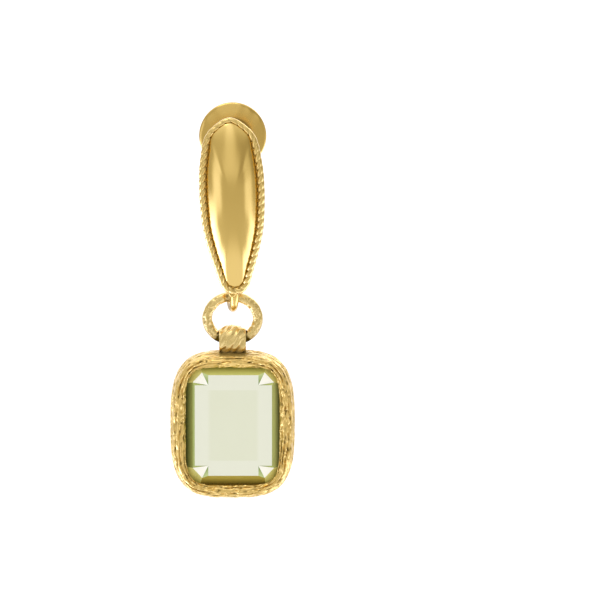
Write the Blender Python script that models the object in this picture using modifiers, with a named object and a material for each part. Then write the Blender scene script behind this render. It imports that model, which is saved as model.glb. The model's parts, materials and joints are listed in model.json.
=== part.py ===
"""Drop earring with a hinged clasp: a teardrop head, a connecting ring and a stone in a bark-textured frame.

The post's axis is the Y axis, and the origin lies on it where the ear lobe sits. The front of the earring
faces -Y, the clasp is on the +Y side, and the drop hangs down along -Z. Lengths are in metres.
"""
import math

import bmesh
import bpy
from mathutils import Matrix, Vector

MM = 0.001

# Head: teardrop plaque with a rope border
HEAD_WIDTH = 5.84 * MM
HEAD_HEIGHT = 15.84 * MM
HEAD_TOP = 3.55 * MM  # above the post's axis
HEAD_FORWARD = 4.14 * MM  # the border's centre in front of the origin, where it is widest
HEAD_CURVE_TOP = 0.45 * MM  # how far the top lies behind the widest place
HEAD_CURVE_TIP = 0.94 * MM  # the same for the bottom tip
DOME_HEIGHT = 1.15 * MM
ROPE_DIAMETER = 0.66 * MM
ROPE_TWISTS = 22
ROPE_STEPS_PER_TWIST = 8

# Post
POST_DIAMETER = 0.93 * MM
POST_REACH = 6.65 * MM  # tip behind the origin
POST_POINT = 0.45 * MM
POST_SIDES = 16

# Bow: strip from the head's back to the hinge
BOW_WIDTH = 1.25 * MM
BOW_THICKNESS = 0.68 * MM
BOW_START = 8.5 * MM  # below the post's axis
BOW_SAG = 1.78 * MM  # lowest centre line below the hinge
KNUCKLE_DIAMETER = 1.7 * MM

# Hinge and lever
HINGE_BACK = 2.51 * MM  # behind the origin
HINGE_DROP = 8.44 * MM  # below the post's axis
PIN_DIAMETER = 0.77 * MM
PIN_PROUD = 0.07 * MM
PIN_CLEARANCE = 0.05 * MM
LEVER_WIDTH = 2.05 * MM
LEVER_SHEET = 0.3 * MM
LEVER_REACH = 2.82 * MM  # hinge to the back of the channel
LEVER_RISE = 6.49 * MM  # hinge to the collar's top
LOBE_DIAMETER = 2.62 * MM
COLLAR_HEIGHT = 2.28 * MM
COLLAR_DEPTH = 1.08 * MM

# Clasp eye
EYE_DIAMETER = 6.0 * MM
EYE_HOLE = 3.46 * MM
EYE_THICKNESS = 0.45 * MM
EYE_FORWARD = 0.59 * MM  # the eye's middle plane in front of the stem's
EYE_RAISE = 0.07 * MM  # rim above the collar's top
STEM_WIDTH = 1.25 * MM
STEM_DEPTH = 1.6 * MM  # into the collar
FIT_GAP = 0.06 * MM  # between a held piece and its seat

# Loop below the bow
LOOP_DIAMETER = 3.6 * MM
LOOP_WIRE = 0.77 * MM
LOOP_BEHIND_FRONT = 3.32 * MM  # loop's centre behind the head's border
LOOP_TWIST = math.radians(8.0)
SOLDER_DEPTH = 0.12 * MM
SOLDER_DIAMETER = 0.62 * MM

# Connecting ring, sizes of its outline from wire to wire outside
RING_WIDTH = 5.41 * MM
RING_HEIGHT = 4.81 * MM
RING_WIRE = 0.93 * MM
LINK_GAP = 0.04 * MM  # between wires that hang in each other

# Bail bead on the setting
BAIL_WIDTH = 2.37 * MM
BAIL_HEIGHT = 2.75 * MM
BAIL_DEPTH = 2.3 * MM
BAIL_SINK = 0.35 * MM  # into the top of the setting
BAIL_TOP_WALL = 0.93 * MM  # metal above the ring's wire
SWING_LIMIT = math.radians(35.0)

# Setting and stone
SETTING_WIDTH = 11.08 * MM
SETTING_HEIGHT = 13.1 * MM
SETTING_DEPTH = 3.8 * MM
SETTING_SQUARENESS = 3.3
OPENING_WIDTH = 8.33 * MM
OPENING_HEIGHT = 10.55 * MM
OPENING_SQUARENESS = 5.5
RELIEF = 0.15 * MM
STONE_OVERLAP = 0.335 * MM  # girdle under the frame's lip, on each side
STONE_LIP = 0.75 * MM  # from the frame's crest to the underside of its lip
CROWN_HEIGHT = 1.15 * MM
GIRDLE_HEIGHT = 0.12 * MM
PAVILION_HEIGHT = 2.2 * MM
TABLE_WIDTH = 7.0 * MM
TABLE_HEIGHT = 9.05 * MM
NOTCH_WIDTH = 1.26 * MM
NOTCH_HEIGHT = 1.1 * MM

GOLD = (0.83, 0.60, 0.24, 1.0)
PALE_GREEN = (0.80, 0.83, 0.62, 1.0)

# Head's outline: (height from the top as a share of its height, half width as a share of half its width)
HEAD_OUTLINE = (
    (0.0, 0.0),
    (0.031, 0.38),
    (0.104, 0.77),
    (0.246, 0.95),
    (0.375, 1.0),
    (0.500, 0.985),
    (0.636, 0.91),
    (0.773, 0.72),
    (0.864, 0.555),
    (0.955, 0.385),
    (0.990, 0.22),
    (1.0, 0.0),
)
HEAD_WIDEST_SHARE = 0.375
DOME_CENTRE_SHARE = 0.43

# Bow's centre line: (share of the way from the head to the hinge, share of the sag)
BOW_LINE = (
    (0.00, 0.04),
    (0.147, 0.40),
    (0.257, 0.70),
    (0.426, 0.965),
    (0.594, 1.00),
    (0.740, 0.86),
    (0.860, 0.58),
    (1.00, 0.00),
)

# Lever's side outline, from the hinge: (backwards as a share of its reach, upwards as a share of its rise)
LEVER_BACK_EDGE = (
    (0.865, 1.00),
    (0.936, 0.76),
    (1.00, 0.48),
    (0.972, 0.27),
    (0.900, 0.055),
)
LEVER_FRONT_EDGE = (
    (-0.404, 0.108),
    (-0.216, 0.193),
    (0.082, 0.288),
    (0.323, 0.373),
    (0.592, 0.490),
    (0.741, 0.607),
)

# Frame's front, from the outer back edge to the lip: (share of the way in to the stone's opening,
# share of the depth behind the crest)
FRAME_ARCH = (
    (0.12, 1.00),
    (0.02, 0.86),
    (0.00, 0.62),
    (0.02, 0.40),
    (0.08, 0.22),
    (0.20, 0.09),
    (0.36, 0.02),
    (0.54, 0.00),
    (0.72, 0.02),
    (0.88, 0.07),
    (1.00, 0.14),
)


def height_at(height_share):
    """Height above the post's axis of a share of the head's height, counted from its top."""
    return HEAD_TOP - height_share * HEAD_HEIGHT


def border_y(z):
    """Place of the rope's centre along Y at a height: the head is bent backwards at both ends."""
    widest = height_at(HEAD_WIDEST_SHARE)
    if z > widest:
        share = (z - widest) / (HEAD_TOP - widest)
        return -HEAD_FORWARD + HEAD_CURVE_TOP * share ** 2
    share = (widest - z) / (widest - height_at(1.0))
    return -HEAD_FORWARD + HEAD_CURVE_TIP * share ** 2


def back_y(z):
    """Place of the head's back plate along Y at a height."""
    return border_y(z) + ROPE_DIAMETER / 2


def smooth_loop(points, count, closed=True):
    """Evenly spaced points on a smooth curve through the given 2D points."""
    total = len(points)
    spans = total if closed else total - 1
    fine = []
    for i in range(spans):
        p0, p1, p2, p3 = (
            Vector(points[(i + k) % total] if closed else points[min(max(i + k, 0), total - 1)])
            for k in (-1, 0, 1, 2)
        )
        for step in range(12):
            t = step / 12
            fine.append(
                0.5 * (2 * p1 + (p2 - p0) * t + (2 * p0 - 5 * p1 + 4 * p2 - p3) * t ** 2
                       + (3 * p1 - p0 - 3 * p2 + p3) * t ** 3)
            )
    fine.append(Vector(points[0] if closed else points[-1]))
    lengths = [0.0]
    for a, b in zip(fine, fine[1:]):
        lengths.append(lengths[-1] + (b - a).length)
    wanted = [lengths[-1] * i / (count if closed else count - 1) for i in range(count)]
    result = []
    segment = 0
    for distance in wanted:
        while segment < len(fine) - 2 and lengths[segment + 1] < distance:
            segment += 1
        span = lengths[segment + 1] - lengths[segment]
        share = (distance - lengths[segment]) / span if span else 0.0
        result.append(fine[segment].lerp(fine[segment + 1], share))
    return result


def head_outline(inset, count):
    """The teardrop as (x, z) points, drawn in from the head's edge by an inset."""
    half_width = HEAD_WIDTH / 2 - inset
    top = HEAD_TOP - inset
    height = HEAD_HEIGHT - 2 * inset
    right = [(half_width * width, top - height * down) for down, width in HEAD_OUTLINE]
    left = [(-x, z) for x, z in reversed(right[1:-1])]
    return smooth_loop(right + left, count)


def collection(name):
    """A collection under the scene's own."""
    group = bpy.data.collections.new(name)
    bpy.context.scene.collection.children.link(group)
    return group


def finish(name, colour, roughness, metallic):
    """A Principled material for one sub-part."""
    material = bpy.data.materials.new(name)
    material.use_nodes = True
    shader = material.node_tree.nodes["Principled BSDF"]
    shader.inputs["Base Color"].default_value = colour
    shader.inputs["Roughness"].default_value = roughness
    shader.inputs["Metallic"].default_value = metallic
    return material


def add_object(name, mesh, group):
    """An object for a mesh, shaded smooth except at its edges."""
    mesh.shade_smooth()
    mesh.set_sharp_from_angle(angle=math.radians(35.0))
    obj = bpy.data.objects.new(name, mesh)
    group.objects.link(obj)
    return obj


def as_tool(obj):
    """Marks an object that only shapes another one."""
    obj.hide_render = True
    obj.display_type = "WIRE"
    return obj


def combine(obj, tool, operation):
    """Adds a Boolean to an object."""
    modifier = obj.modifiers.new(f"{operation.lower()} {tool.name}", "BOOLEAN")
    modifier.object = as_tool(tool)
    modifier.operation = operation
    modifier.solver = "EXACT"


def mesh_of_curve(name, curve):
    """The mesh of a curve, with its caps welded."""
    holder = bpy.data.objects.new(f"{name} curve", curve)
    bpy.context.scene.collection.objects.link(holder)
    evaluated = holder.evaluated_get(bpy.context.evaluated_depsgraph_get())
    mesh = bpy.data.meshes.new_from_object(evaluated)
    mesh.name = name
    bpy.data.objects.remove(holder)
    work = bmesh.new()
    work.from_mesh(mesh)
    bmesh.ops.remove_doubles(work, verts=work.verts, dist=1e-7)
    bmesh.ops.recalc_face_normals(work, faces=work.faces)
    work.to_mesh(mesh)
    work.free()
    return mesh


def poly_spline(curve, points, cyclic, tilts=None):
    """Adds a straight-edged spline through 3D points."""
    spline = curve.splines.new("POLY")
    spline.points.add(len(points) - 1)
    for index, point in enumerate(points):
        spline.points[index].co = (*point, 1.0)
        spline.points[index].tilt = tilts[index] if tilts else 0.0
    spline.use_cyclic_u = cyclic


def plate(name, outline, thickness, group):
    """A flat plate standing in the YZ plane, centred on X = 0, from its (y, z) outline."""
    curve = bpy.data.curves.new(name, "CURVE")
    curve.dimensions = "2D"
    curve.fill_mode = "BOTH"
    curve.extrude = thickness / 2
    poly_spline(curve, [(y, z, 0.0) for y, z in outline], cyclic=True)
    mesh = mesh_of_curve(name, curve)
    mesh.transform(Matrix(((0, 0, 1, 0), (1, 0, 0, 0), (0, 1, 0, 0), (0, 0, 0, 1))))
    return add_object(name, mesh, group)


def wire_loop(name, points, diameter, smoothness, group):
    """A closed wire of round section through 3D points."""
    curve = bpy.data.curves.new(name, "CURVE")
    curve.dimensions = "3D"
    curve.bevel_depth = diameter / 2
    curve.bevel_resolution = smoothness
    poly_spline(curve, points, cyclic=True)
    return add_object(name, mesh_of_curve(name, curve), group)


def cylinder(name, diameter, length, centre, axis, sides, group):
    """A cylinder along the X or the Y axis."""
    mesh = bpy.data.meshes.new(name)
    work = bmesh.new()
    bmesh.ops.create_cone(
        work, cap_ends=True, segments=sides, radius1=diameter / 2, radius2=diameter / 2, depth=length
    )
    turn = Matrix.Rotation(math.pi / 2, 4, "Y" if axis == "X" else "X")
    bmesh.ops.transform(work, matrix=Matrix.Translation(centre) @ turn, verts=work.verts)
    work.to_mesh(mesh)
    work.free()
    return add_object(name, mesh, group)


def box(name, low, high, group):
    """A box between two corners."""
    mesh = bpy.data.meshes.new(name)
    work = bmesh.new()
    bmesh.ops.create_cube(work, size=1.0)
    low, high = Vector(low), Vector(high)
    size = high - low
    scale = Matrix.Diagonal((*size, 1.0))
    bmesh.ops.transform(work, matrix=Matrix.Translation((low + high) / 2) @ scale, verts=work.verts)
    work.to_mesh(mesh)
    work.free()
    return add_object(name, mesh, group)


def loft(name, loops, group, closed=False):
    """Joins loops of points, each with as many, into one body.

    An open loft is closed by a cap on its first and last loop, or a point there if the loop is one point.
    """
    mesh = bpy.data.meshes.new(name)
    work = bmesh.new()
    rings = [[work.verts.new(point) for point in loop] for loop in loops]
    pairs = list(zip(rings, rings[1:]))
    if closed:
        pairs.append((rings[-1], rings[0]))
    for first, second in pairs:
        count = max(len(first), len(second))
        for i in range(count):
            j = (i + 1) % count
            corners = [first[i % len(first)], first[j % len(first)]]
            corners += [second[j % len(second)], second[i % len(second)]]
            work.faces.new(list(dict.fromkeys(corners)))
    if not closed:
        for ring in (rings[0], rings[-1]):
            if len(ring) > 1:
                work.faces.new(ring)
    bmesh.ops.recalc_face_normals(work, faces=work.faces)
    work.to_mesh(mesh)
    work.free()
    return add_object(name, mesh, group)


def turned_ring(name, profile, steps, centre, group):
    """A ring turned about the Y direction from a closed (radius, along Y) profile."""
    mesh = bpy.data.meshes.new(name)
    count = len(profile)
    edges = [(i, (i + 1) % count) for i in range(count)]
    mesh.from_pydata([(radius, 0.0, -along) for radius, along in profile], edges, [])
    obj = bpy.data.objects.new(name, mesh)
    group.objects.link(obj)
    obj.rotation_euler.x = math.pi / 2
    obj.location = centre
    turn = obj.modifiers.new("turn", "SCREW")
    turn.axis = "Z"
    turn.steps = steps
    turn.render_steps = steps
    turn.use_merge_vertices = True
    turn.merge_threshold = 1e-7
    return obj


def hinge_point():
    """The hinge's centre."""
    return Vector((0.0, HINGE_BACK, -HINGE_DROP))


def drop_y():
    """Place along Y of the plane that the ring and the setting hang in."""
    return -HEAD_FORWARD + LOOP_BEHIND_FRONT


def bow_line(count):
    """The bow's centre line as (y, z) points."""
    start = back_y(-BOW_START) - BOW_THICKNESS / 2
    points = [
        (start + (HINGE_BACK - start) * along, -HINGE_DROP - BOW_SAG * down)
        for along, down in BOW_LINE
    ]
    return smooth_loop(points, count, closed=False)


def bow_underside():
    """Height of the bow's underside over the loop."""
    line = bow_line(60)
    nearest = min(line, key=lambda point: abs(point.x - drop_y()))
    return nearest.y - BOW_THICKNESS / 2


def loop_centre():
    """Centre of the loop that the ring hangs in."""
    return Vector((0.0, drop_y(), bow_underside() + SOLDER_DEPTH - LOOP_DIAMETER / 2))


def ring_pivot():
    """Centre of the ring's wire where it hangs in the loop."""
    inside_bottom = loop_centre().z - LOOP_DIAMETER / 2 + LOOP_WIRE
    return Vector((0.0, drop_y(), inside_bottom + RING_WIRE / 2 + LINK_GAP))


def drop_pivot():
    """Centre of the ring's wire where the setting hangs on it."""
    return ring_pivot() - Vector((0.0, 0.0, RING_HEIGHT - RING_WIRE))


def bail_centre_z():
    """Height of the middle of the bail bead."""
    return drop_pivot().z + RING_WIRE / 2 + BAIL_TOP_WALL - BAIL_HEIGHT / 2


def setting_centre_z():
    """Height of the middle of the setting."""
    bail_bottom = bail_centre_z() - BAIL_HEIGHT / 2
    return bail_bottom + BAIL_SINK - SETTING_HEIGHT / 2


def make_dome(group):
    """Polished dome and plain back plate of the head."""
    count = 44
    inset = ROPE_DIAMETER * 0.7
    edge = head_outline(inset, count)
    centre = Vector((0.0, height_at(DOME_CENTRE_SHARE)))

    def loop(share, offset):
        points = [centre + (point - centre) * share for point in edge]
        return [(x, border_y(z) + offset, z) for x, z in points]

    loops = [[(0.0, border_y(centre.y) - DOME_HEIGHT, centre.y)]]
    for share in (0.25, 0.5, 0.72, 0.88, 0.96, 1.0):
        loops.append(loop(share, -DOME_HEIGHT * (1.0 - share ** 2) ** 0.8))
    for share in (1.0, 0.6, 0.25):
        loops.append(loop(share, ROPE_DIAMETER / 2))
    loops.append([(0.0, back_y(centre.y), centre.y)])
    return loft("head", loops, group)


def make_rope(group):
    """Twisted border: a two-strand section turned along the head's edge."""
    section = bpy.data.curves.new("rope section", "CURVE")
    section.dimensions = "2D"
    flat = 0.62
    corners = [math.tau * i / 6 for i in range(6)]
    radius = ROPE_DIAMETER / 2
    poly_spline(section, [(radius * math.cos(a), radius * flat * math.sin(a), 0.0) for a in corners], True)
    section_object = bpy.data.objects.new("rope section", section)
    bpy.context.scene.collection.objects.link(section_object)

    count = ROPE_TWISTS * ROPE_STEPS_PER_TWIST
    points = [(x, border_y(z), z) for x, z in head_outline(radius, count)]
    tilts = [math.tau * ROPE_TWISTS * i / count for i in range(count)]
    curve = bpy.data.curves.new("rope", "CURVE")
    curve.dimensions = "3D"
    curve.bevel_mode = "OBJECT"
    curve.bevel_object = section_object
    poly_spline(curve, points, cyclic=True, tilts=tilts)
    mesh = mesh_of_curve("rope", curve)
    bpy.data.objects.remove(section_object)
    return add_object("rope", mesh, group)


def make_post(group):
    """Ear post with a pointed tip, along Y."""
    root = back_y(0.0) - ROPE_DIAMETER / 2
    radius = POST_DIAMETER / 2
    stations = ((root, radius), (POST_REACH - POST_POINT, radius), (POST_REACH, radius * 0.3))
    angles = [math.tau * i / POST_SIDES for i in range(POST_SIDES)]
    loops = [[(r * math.cos(a), y, r * math.sin(a)) for a in angles] for y, r in stations]
    return loft("post", loops, group)


def make_bow(group):
    """Curved strip from the head's back to the hinge."""
    line = bow_line(20)
    half = BOW_THICKNESS / 2
    upper, lower = [], []
    for index, point in enumerate(line):
        before = line[max(index - 1, 0)]
        after = line[min(index + 1, len(line) - 1)]
        along = (after - before).normalized()
        across = Vector((-along.y, along.x))
        upper.append(point + across * half)
        lower.append(point - across * half)
    return plate("bow", upper + lower[::-1], BOW_WIDTH, group)


def make_loop(group):
    """Small plain loop soldered under the bow."""
    radius = (LOOP_DIAMETER - LOOP_WIRE) / 2
    centre = loop_centre()
    points = []
    for index in range(20):
        angle = math.tau * (index + 0.5) / 20
        side = radius * math.cos(angle)
        points.append((
            centre.x + side * math.sin(LOOP_TWIST),
            centre.y - side * math.cos(LOOP_TWIST),
            centre.z + radius * math.sin(angle),
        ))
    return wire_loop("loop", points, LOOP_WIRE, 2, group)


def make_head(parts, tools):
    """The head with all that is soldered to it."""
    head = make_dome(parts)
    combine(head, make_rope(tools), "UNION")
    combine(head, make_post(tools), "UNION")

    hinge = hinge_point()
    bow = make_bow(tools)
    knuckle_width = LEVER_WIDTH - 2 * (LEVER_SHEET + PIN_CLEARANCE)
    knuckle = cylinder("knuckle", KNUCKLE_DIAMETER, knuckle_width, hinge, "X", 20, tools)
    combine(bow, knuckle, "UNION")
    combine(bow, make_loop(tools), "UNION")
    solder_z = loop_centre().z
    solder_front = border_y(solder_z)
    solder_back = drop_y() - (LOOP_DIAMETER - LOOP_WIRE) / 2
    solder_length = solder_back - solder_front
    middle = Vector((0.0, (solder_front + solder_back) / 2, solder_z))
    solder = cylinder("solder", SOLDER_DIAMETER, solder_length, middle, "Y", 12, tools)
    combine(bow, solder, "UNION")
    bore = cylinder("bore", PIN_DIAMETER + 2 * PIN_CLEARANCE, LEVER_WIDTH * 2, hinge, "X", 20, tools)
    combine(bow, bore, "DIFFERENCE")
    combine(head, bow, "UNION")
    head.data.materials.append(finish("head gold", GOLD, 0.18, 1.0))
    return head


def lobe_arc():
    """Round bottom of the lever's walls, as (y, z) from the hinge, from back to front."""
    radius = LOBE_DIAMETER / 2
    angles = [math.radians(10.0 - 19.0 * i) for i in range(11)]
    return [(radius * math.cos(a), radius * math.sin(a)) for a in angles]


def make_lever(parts, tools):
    """Folded channel with its collar, from the hinge up."""
    hinge = hinge_point()
    back = [(LEVER_REACH * y, LEVER_RISE * z) for y, z in LEVER_BACK_EDGE]
    front = [(LEVER_REACH * y, LEVER_RISE * z) for y, z in LEVER_FRONT_EDGE]
    collar_back = back[0][0]
    collar_front = collar_back - COLLAR_DEPTH
    collar_bottom = LEVER_RISE - COLLAR_HEIGHT
    lowest_back = (LOBE_DIAMETER / 2 + LEVER_SHEET, back[-1][1])
    outline = back + [lowest_back] + lobe_arc() + front
    outline += [(collar_front, collar_bottom), (collar_front, LEVER_RISE)]
    lever = plate("clasp_lever", [(hinge.y + y, hinge.z + z) for y, z in outline], LEVER_WIDTH, parts)

    inner = [(y - LEVER_SHEET, z) for y, z in back if z < collar_bottom]
    inner.insert(0, (inner[0][0], collar_bottom))
    inner += [(inner[-1][0], -LOBE_DIAMETER), (-LOBE_DIAMETER, -LOBE_DIAMETER), (-LOBE_DIAMETER, collar_bottom)]
    inner_width = LEVER_WIDTH - 2 * LEVER_SHEET
    channel = plate("channel", [(hinge.y + y, hinge.z + z) for y, z in inner], inner_width, tools)
    combine(lever, channel, "DIFFERENCE")

    hole = cylinder("pin hole", PIN_DIAMETER + 2 * PIN_CLEARANCE, LEVER_WIDTH * 2, hinge, "X", 20, tools)
    combine(lever, hole, "DIFFERENCE")
    stem = stem_y()
    half_width = STEM_WIDTH / 2 + FIT_GAP
    half_depth = EYE_THICKNESS / 2 + FIT_GAP
    top = hinge.z + LEVER_RISE
    socket = box(
        "socket",
        (-half_width, stem - half_depth, top - STEM_DEPTH - FIT_GAP),
        (half_width, stem + half_depth, top + COLLAR_HEIGHT),
        tools,
    )
    combine(lever, socket, "DIFFERENCE")
    lever.data.materials.append(finish("lever gold", GOLD, 0.22, 1.0))
    return lever


def stem_y():
    """Place of the stem's middle plane along Y: the middle of the collar."""
    return HINGE_BACK + LEVER_REACH * LEVER_BACK_EDGE[0][0] - COLLAR_DEPTH / 2


def eye_centre():
    """Centre of the clasp's eye."""
    collar_top = -HINGE_DROP + LEVER_RISE
    return Vector((0.0, stem_y() - EYE_FORWARD, collar_top + EYE_RAISE + EYE_DIAMETER / 2))


def make_eye(parts, tools):
    """Flat ring that takes the post's end, with its stem."""
    outer = EYE_DIAMETER / 2
    inner = EYE_HOLE / 2
    half = EYE_THICKNESS / 2
    soft = half * 0.5
    profile = (
        (outer - soft, half),
        (outer, half - soft),
        (outer, soft - half),
        (outer - soft, -half),
        (inner + soft, -half),
        (inner, soft - half),
        (inner, half - soft),
        (inner + soft, half),
    )
    centre = eye_centre()
    eye = turned_ring("clasp_eye", profile, 40, centre, parts)
    stem = stem_y()
    collar_top = -HINGE_DROP + LEVER_RISE
    width = (EYE_DIAMETER - EYE_HOLE) / 2
    bend = collar_top + EYE_RAISE
    outline = (
        (centre.y - half * 0.9, bend + width * 0.75),
        (centre.y - half * 0.9, bend + width * 0.25),
        (stem - half, bend),
        (stem - half, collar_top - STEM_DEPTH),
        (stem + half, collar_top - STEM_DEPTH),
        (stem + half, bend + width * 0.35),
        (centre.y + half * 0.9, bend + width * 0.75),
    )
    combine(eye, plate("stem", outline, STEM_WIDTH, tools), "UNION")
    eye.data.materials.append(finish("eye gold", GOLD, 0.2, 1.0))
    return eye


def make_pin(parts):
    """Rivet of the hinge, standing a little proud of the lever's walls."""
    length = LEVER_WIDTH + 2 * PIN_PROUD
    pin = cylinder("hinge_pin", PIN_DIAMETER, length, hinge_point(), "X", 20, parts)
    soft = pin.modifiers.new("soft ends", "BEVEL")
    soft.width = PIN_PROUD * 0.8
    soft.segments = 1
    soft.limit_method = "ANGLE"
    soft.angle_limit = math.radians(40.0)
    pin.data.materials.append(finish("pin gold", GOLD, 0.3, 1.0))
    return pin


def ring_axes():
    """Half width and half height of the ring's centre line."""
    return (RING_WIDTH - RING_WIRE) / 2, (RING_HEIGHT - RING_WIRE) / 2


def make_ring(parts):
    """Oval connecting ring."""
    half_width, half_height = ring_axes()
    centre = (ring_pivot() + drop_pivot()) / 2
    count = 36
    points = []
    for index in range(count):
        angle = math.tau * index / count
        points.append((
            half_width * math.cos(angle),
            centre.y,
            centre.z + half_height * math.sin(angle),
        ))
    ring = wire_loop("ring", points, RING_WIRE, 3, parts)
    ring.data.materials.append(finish("ring gold", GOLD, 0.3, 1.0))
    return ring


def outline_radius(angle, width, height, squareness):
    """Distance from the setting's centre to a rounded rectangle at an angle."""
    across = abs(2 * math.cos(angle) / width) ** squareness
    upwards = abs(2 * math.sin(angle) / height) ** squareness
    return (across + upwards) ** (-1.0 / squareness)


def frame_radius(angle, blend):
    """The same for a loop of the frame, from its outer outline (0) to the stone's opening (1)."""
    outer = outline_radius(angle, SETTING_WIDTH - 2 * RELIEF, SETTING_HEIGHT - 2 * RELIEF, SETTING_SQUARENESS)
    inner = outline_radius(angle, OPENING_WIDTH, OPENING_HEIGHT, OPENING_SQUARENESS)
    return outer + (inner - outer) * blend


def bark(share, angle):
    """Height of the bark relief, from -1 to 1: three strands that wander and cross round the frame."""
    wander = 0.30 * math.sin(4 * angle + 0.7) + 0.17 * math.sin(9 * angle + 2.1)
    strands = math.cos(math.tau * (3.1 * share + wander))
    cracks = 0.35 * math.cos(17 * angle + 8 * share)
    return (strands + cracks) / 1.35


def setting_front():
    """Place of the frame's crest along Y, without its relief."""
    return drop_y() - SETTING_DEPTH / 2 + RELIEF


def frame_point(angle, radius, depth):
    """A point of the frame at a radius, and at a depth behind the frame's crest."""
    return (
        radius * math.cos(angle),
        setting_front() + depth,
        setting_centre_z() + radius * math.sin(angle),
    )


def seat_rows():
    """The frame's inner side behind its lip: (how much wider than the opening, depth behind the crest)."""
    groove = STONE_OVERLAP + 2 * FIT_GAP
    girdle = stone_girdle_y() - setting_front()
    ledge = girdle + GIRDLE_HEIGHT + PAVILION_HEIGHT * 0.14 + 2 * FIT_GAP
    return (
        (0.0, STONE_LIP),
        (groove, girdle - FIT_GAP),
        (groove, girdle + GIRDLE_HEIGHT + 2 * FIT_GAP),
        (-FIT_GAP, ledge),
        (FIT_GAP, SETTING_DEPTH - RELIEF),
    )


def make_frame(parts):
    """Bark-textured frame round the stone, open at the back."""
    columns = 88
    angles = [math.tau * (index + 0.5) / columns for index in range(columns)]
    width = (SETTING_WIDTH - OPENING_WIDTH) / 2
    depth = SETTING_DEPTH - RELIEF
    last = len(FRAME_ARCH) - 1
    loops = []
    for index, (inwards, backwards) in enumerate(FRAME_ARCH):
        before = FRAME_ARCH[max(index - 1, 0)]
        after = FRAME_ARCH[min(index + 1, last)]
        along = Vector(((after[0] - before[0]) * width, (after[1] - before[1]) * depth)).normalized()
        share = index / last
        strength = RELIEF * math.sin(math.pi * share) ** 0.4 if 0 < index < last else 0.0
        loop = []
        for angle in angles:
            lift = strength * bark(share, angle)
            radius = frame_radius(angle, inwards) - along.y * lift
            loop.append(frame_point(angle, radius, depth * backwards - along.x * lift))
        loops.append(loop)
    for grow, behind in seat_rows():
        loops.append([
            frame_point(
                angle,
                outline_radius(angle, OPENING_WIDTH + 2 * grow, OPENING_HEIGHT + 2 * grow, OPENING_SQUARENESS),
                behind,
            )
            for angle in angles
        ])
    return loft("setting", loops, parts, closed=True)


def wire_rise(x):
    """How far the ring's bent wire rises at a distance from its lowest point."""
    half_width, half_height = ring_axes()
    return half_height * (1.0 - math.sqrt(max(0.0, 1.0 - (x / half_width) ** 2)))


def make_bail(tools):
    """Bead on top of the setting, with a hole that widens with the bend of the ring's wire."""
    half = BAIL_WIDTH / 2
    outer_shape = ((-1.0, 0.78), (-0.9, 0.9), (-0.55, 0.985), (0.0, 1.0), (0.55, 0.985), (0.9, 0.9), (1.0, 0.78))
    sides = 24
    angles = [math.tau * (index + 0.5) / sides for index in range(sides)]
    centre_y = drop_y()
    loops = []
    for along, share in outer_shape:
        depth, height = BAIL_DEPTH / 2 * share, BAIL_HEIGHT / 2 * share
        loops.append([
            (half * along, centre_y + depth * math.cos(a), bail_centre_z() + height * math.sin(a))
            for a in angles
        ])
    bail = loft("bail", loops, tools)

    hole_loops = []
    axis_z = drop_pivot().z
    for along in (-1.15, -0.8, -0.4, 0.0, 0.4, 0.8, 1.15):
        x = half * along
        rise = wire_rise(x)
        slope = (wire_rise(abs(x) + 0.01 * MM) - rise) / (0.01 * MM)
        wire = RING_WIRE / 2 * math.hypot(1.0, slope)
        sway = rise * math.sin(SWING_LIMIT)
        drop = rise * (math.cos(SWING_LIMIT) - 0.5)
        radius = wire + max(rise / 2, math.hypot(sway, drop)) + LINK_GAP * 1.5
        hole_loops.append([
            (x, centre_y + radius * math.cos(a), axis_z + rise / 2 + radius * math.sin(a))
            for a in angles
        ])
    return bail, loft("bail hole", hole_loops, tools)


def make_setting(parts, tools):
    """The frame with the bail bead soldered on top."""
    setting = make_frame(parts)
    bail, hole = make_bail(tools)
    combine(bail, hole, "DIFFERENCE")
    combine(setting, bail, "UNION")
    setting.data.materials.append(finish("setting gold", GOLD, 0.35, 1.0))
    return setting


def stone_girdle_y():
    """Place of the girdle's front edge along Y: the crown passes under the frame's lip."""
    return setting_front() + STONE_LIP + CROWN_HEIGHT * 0.42


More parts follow.
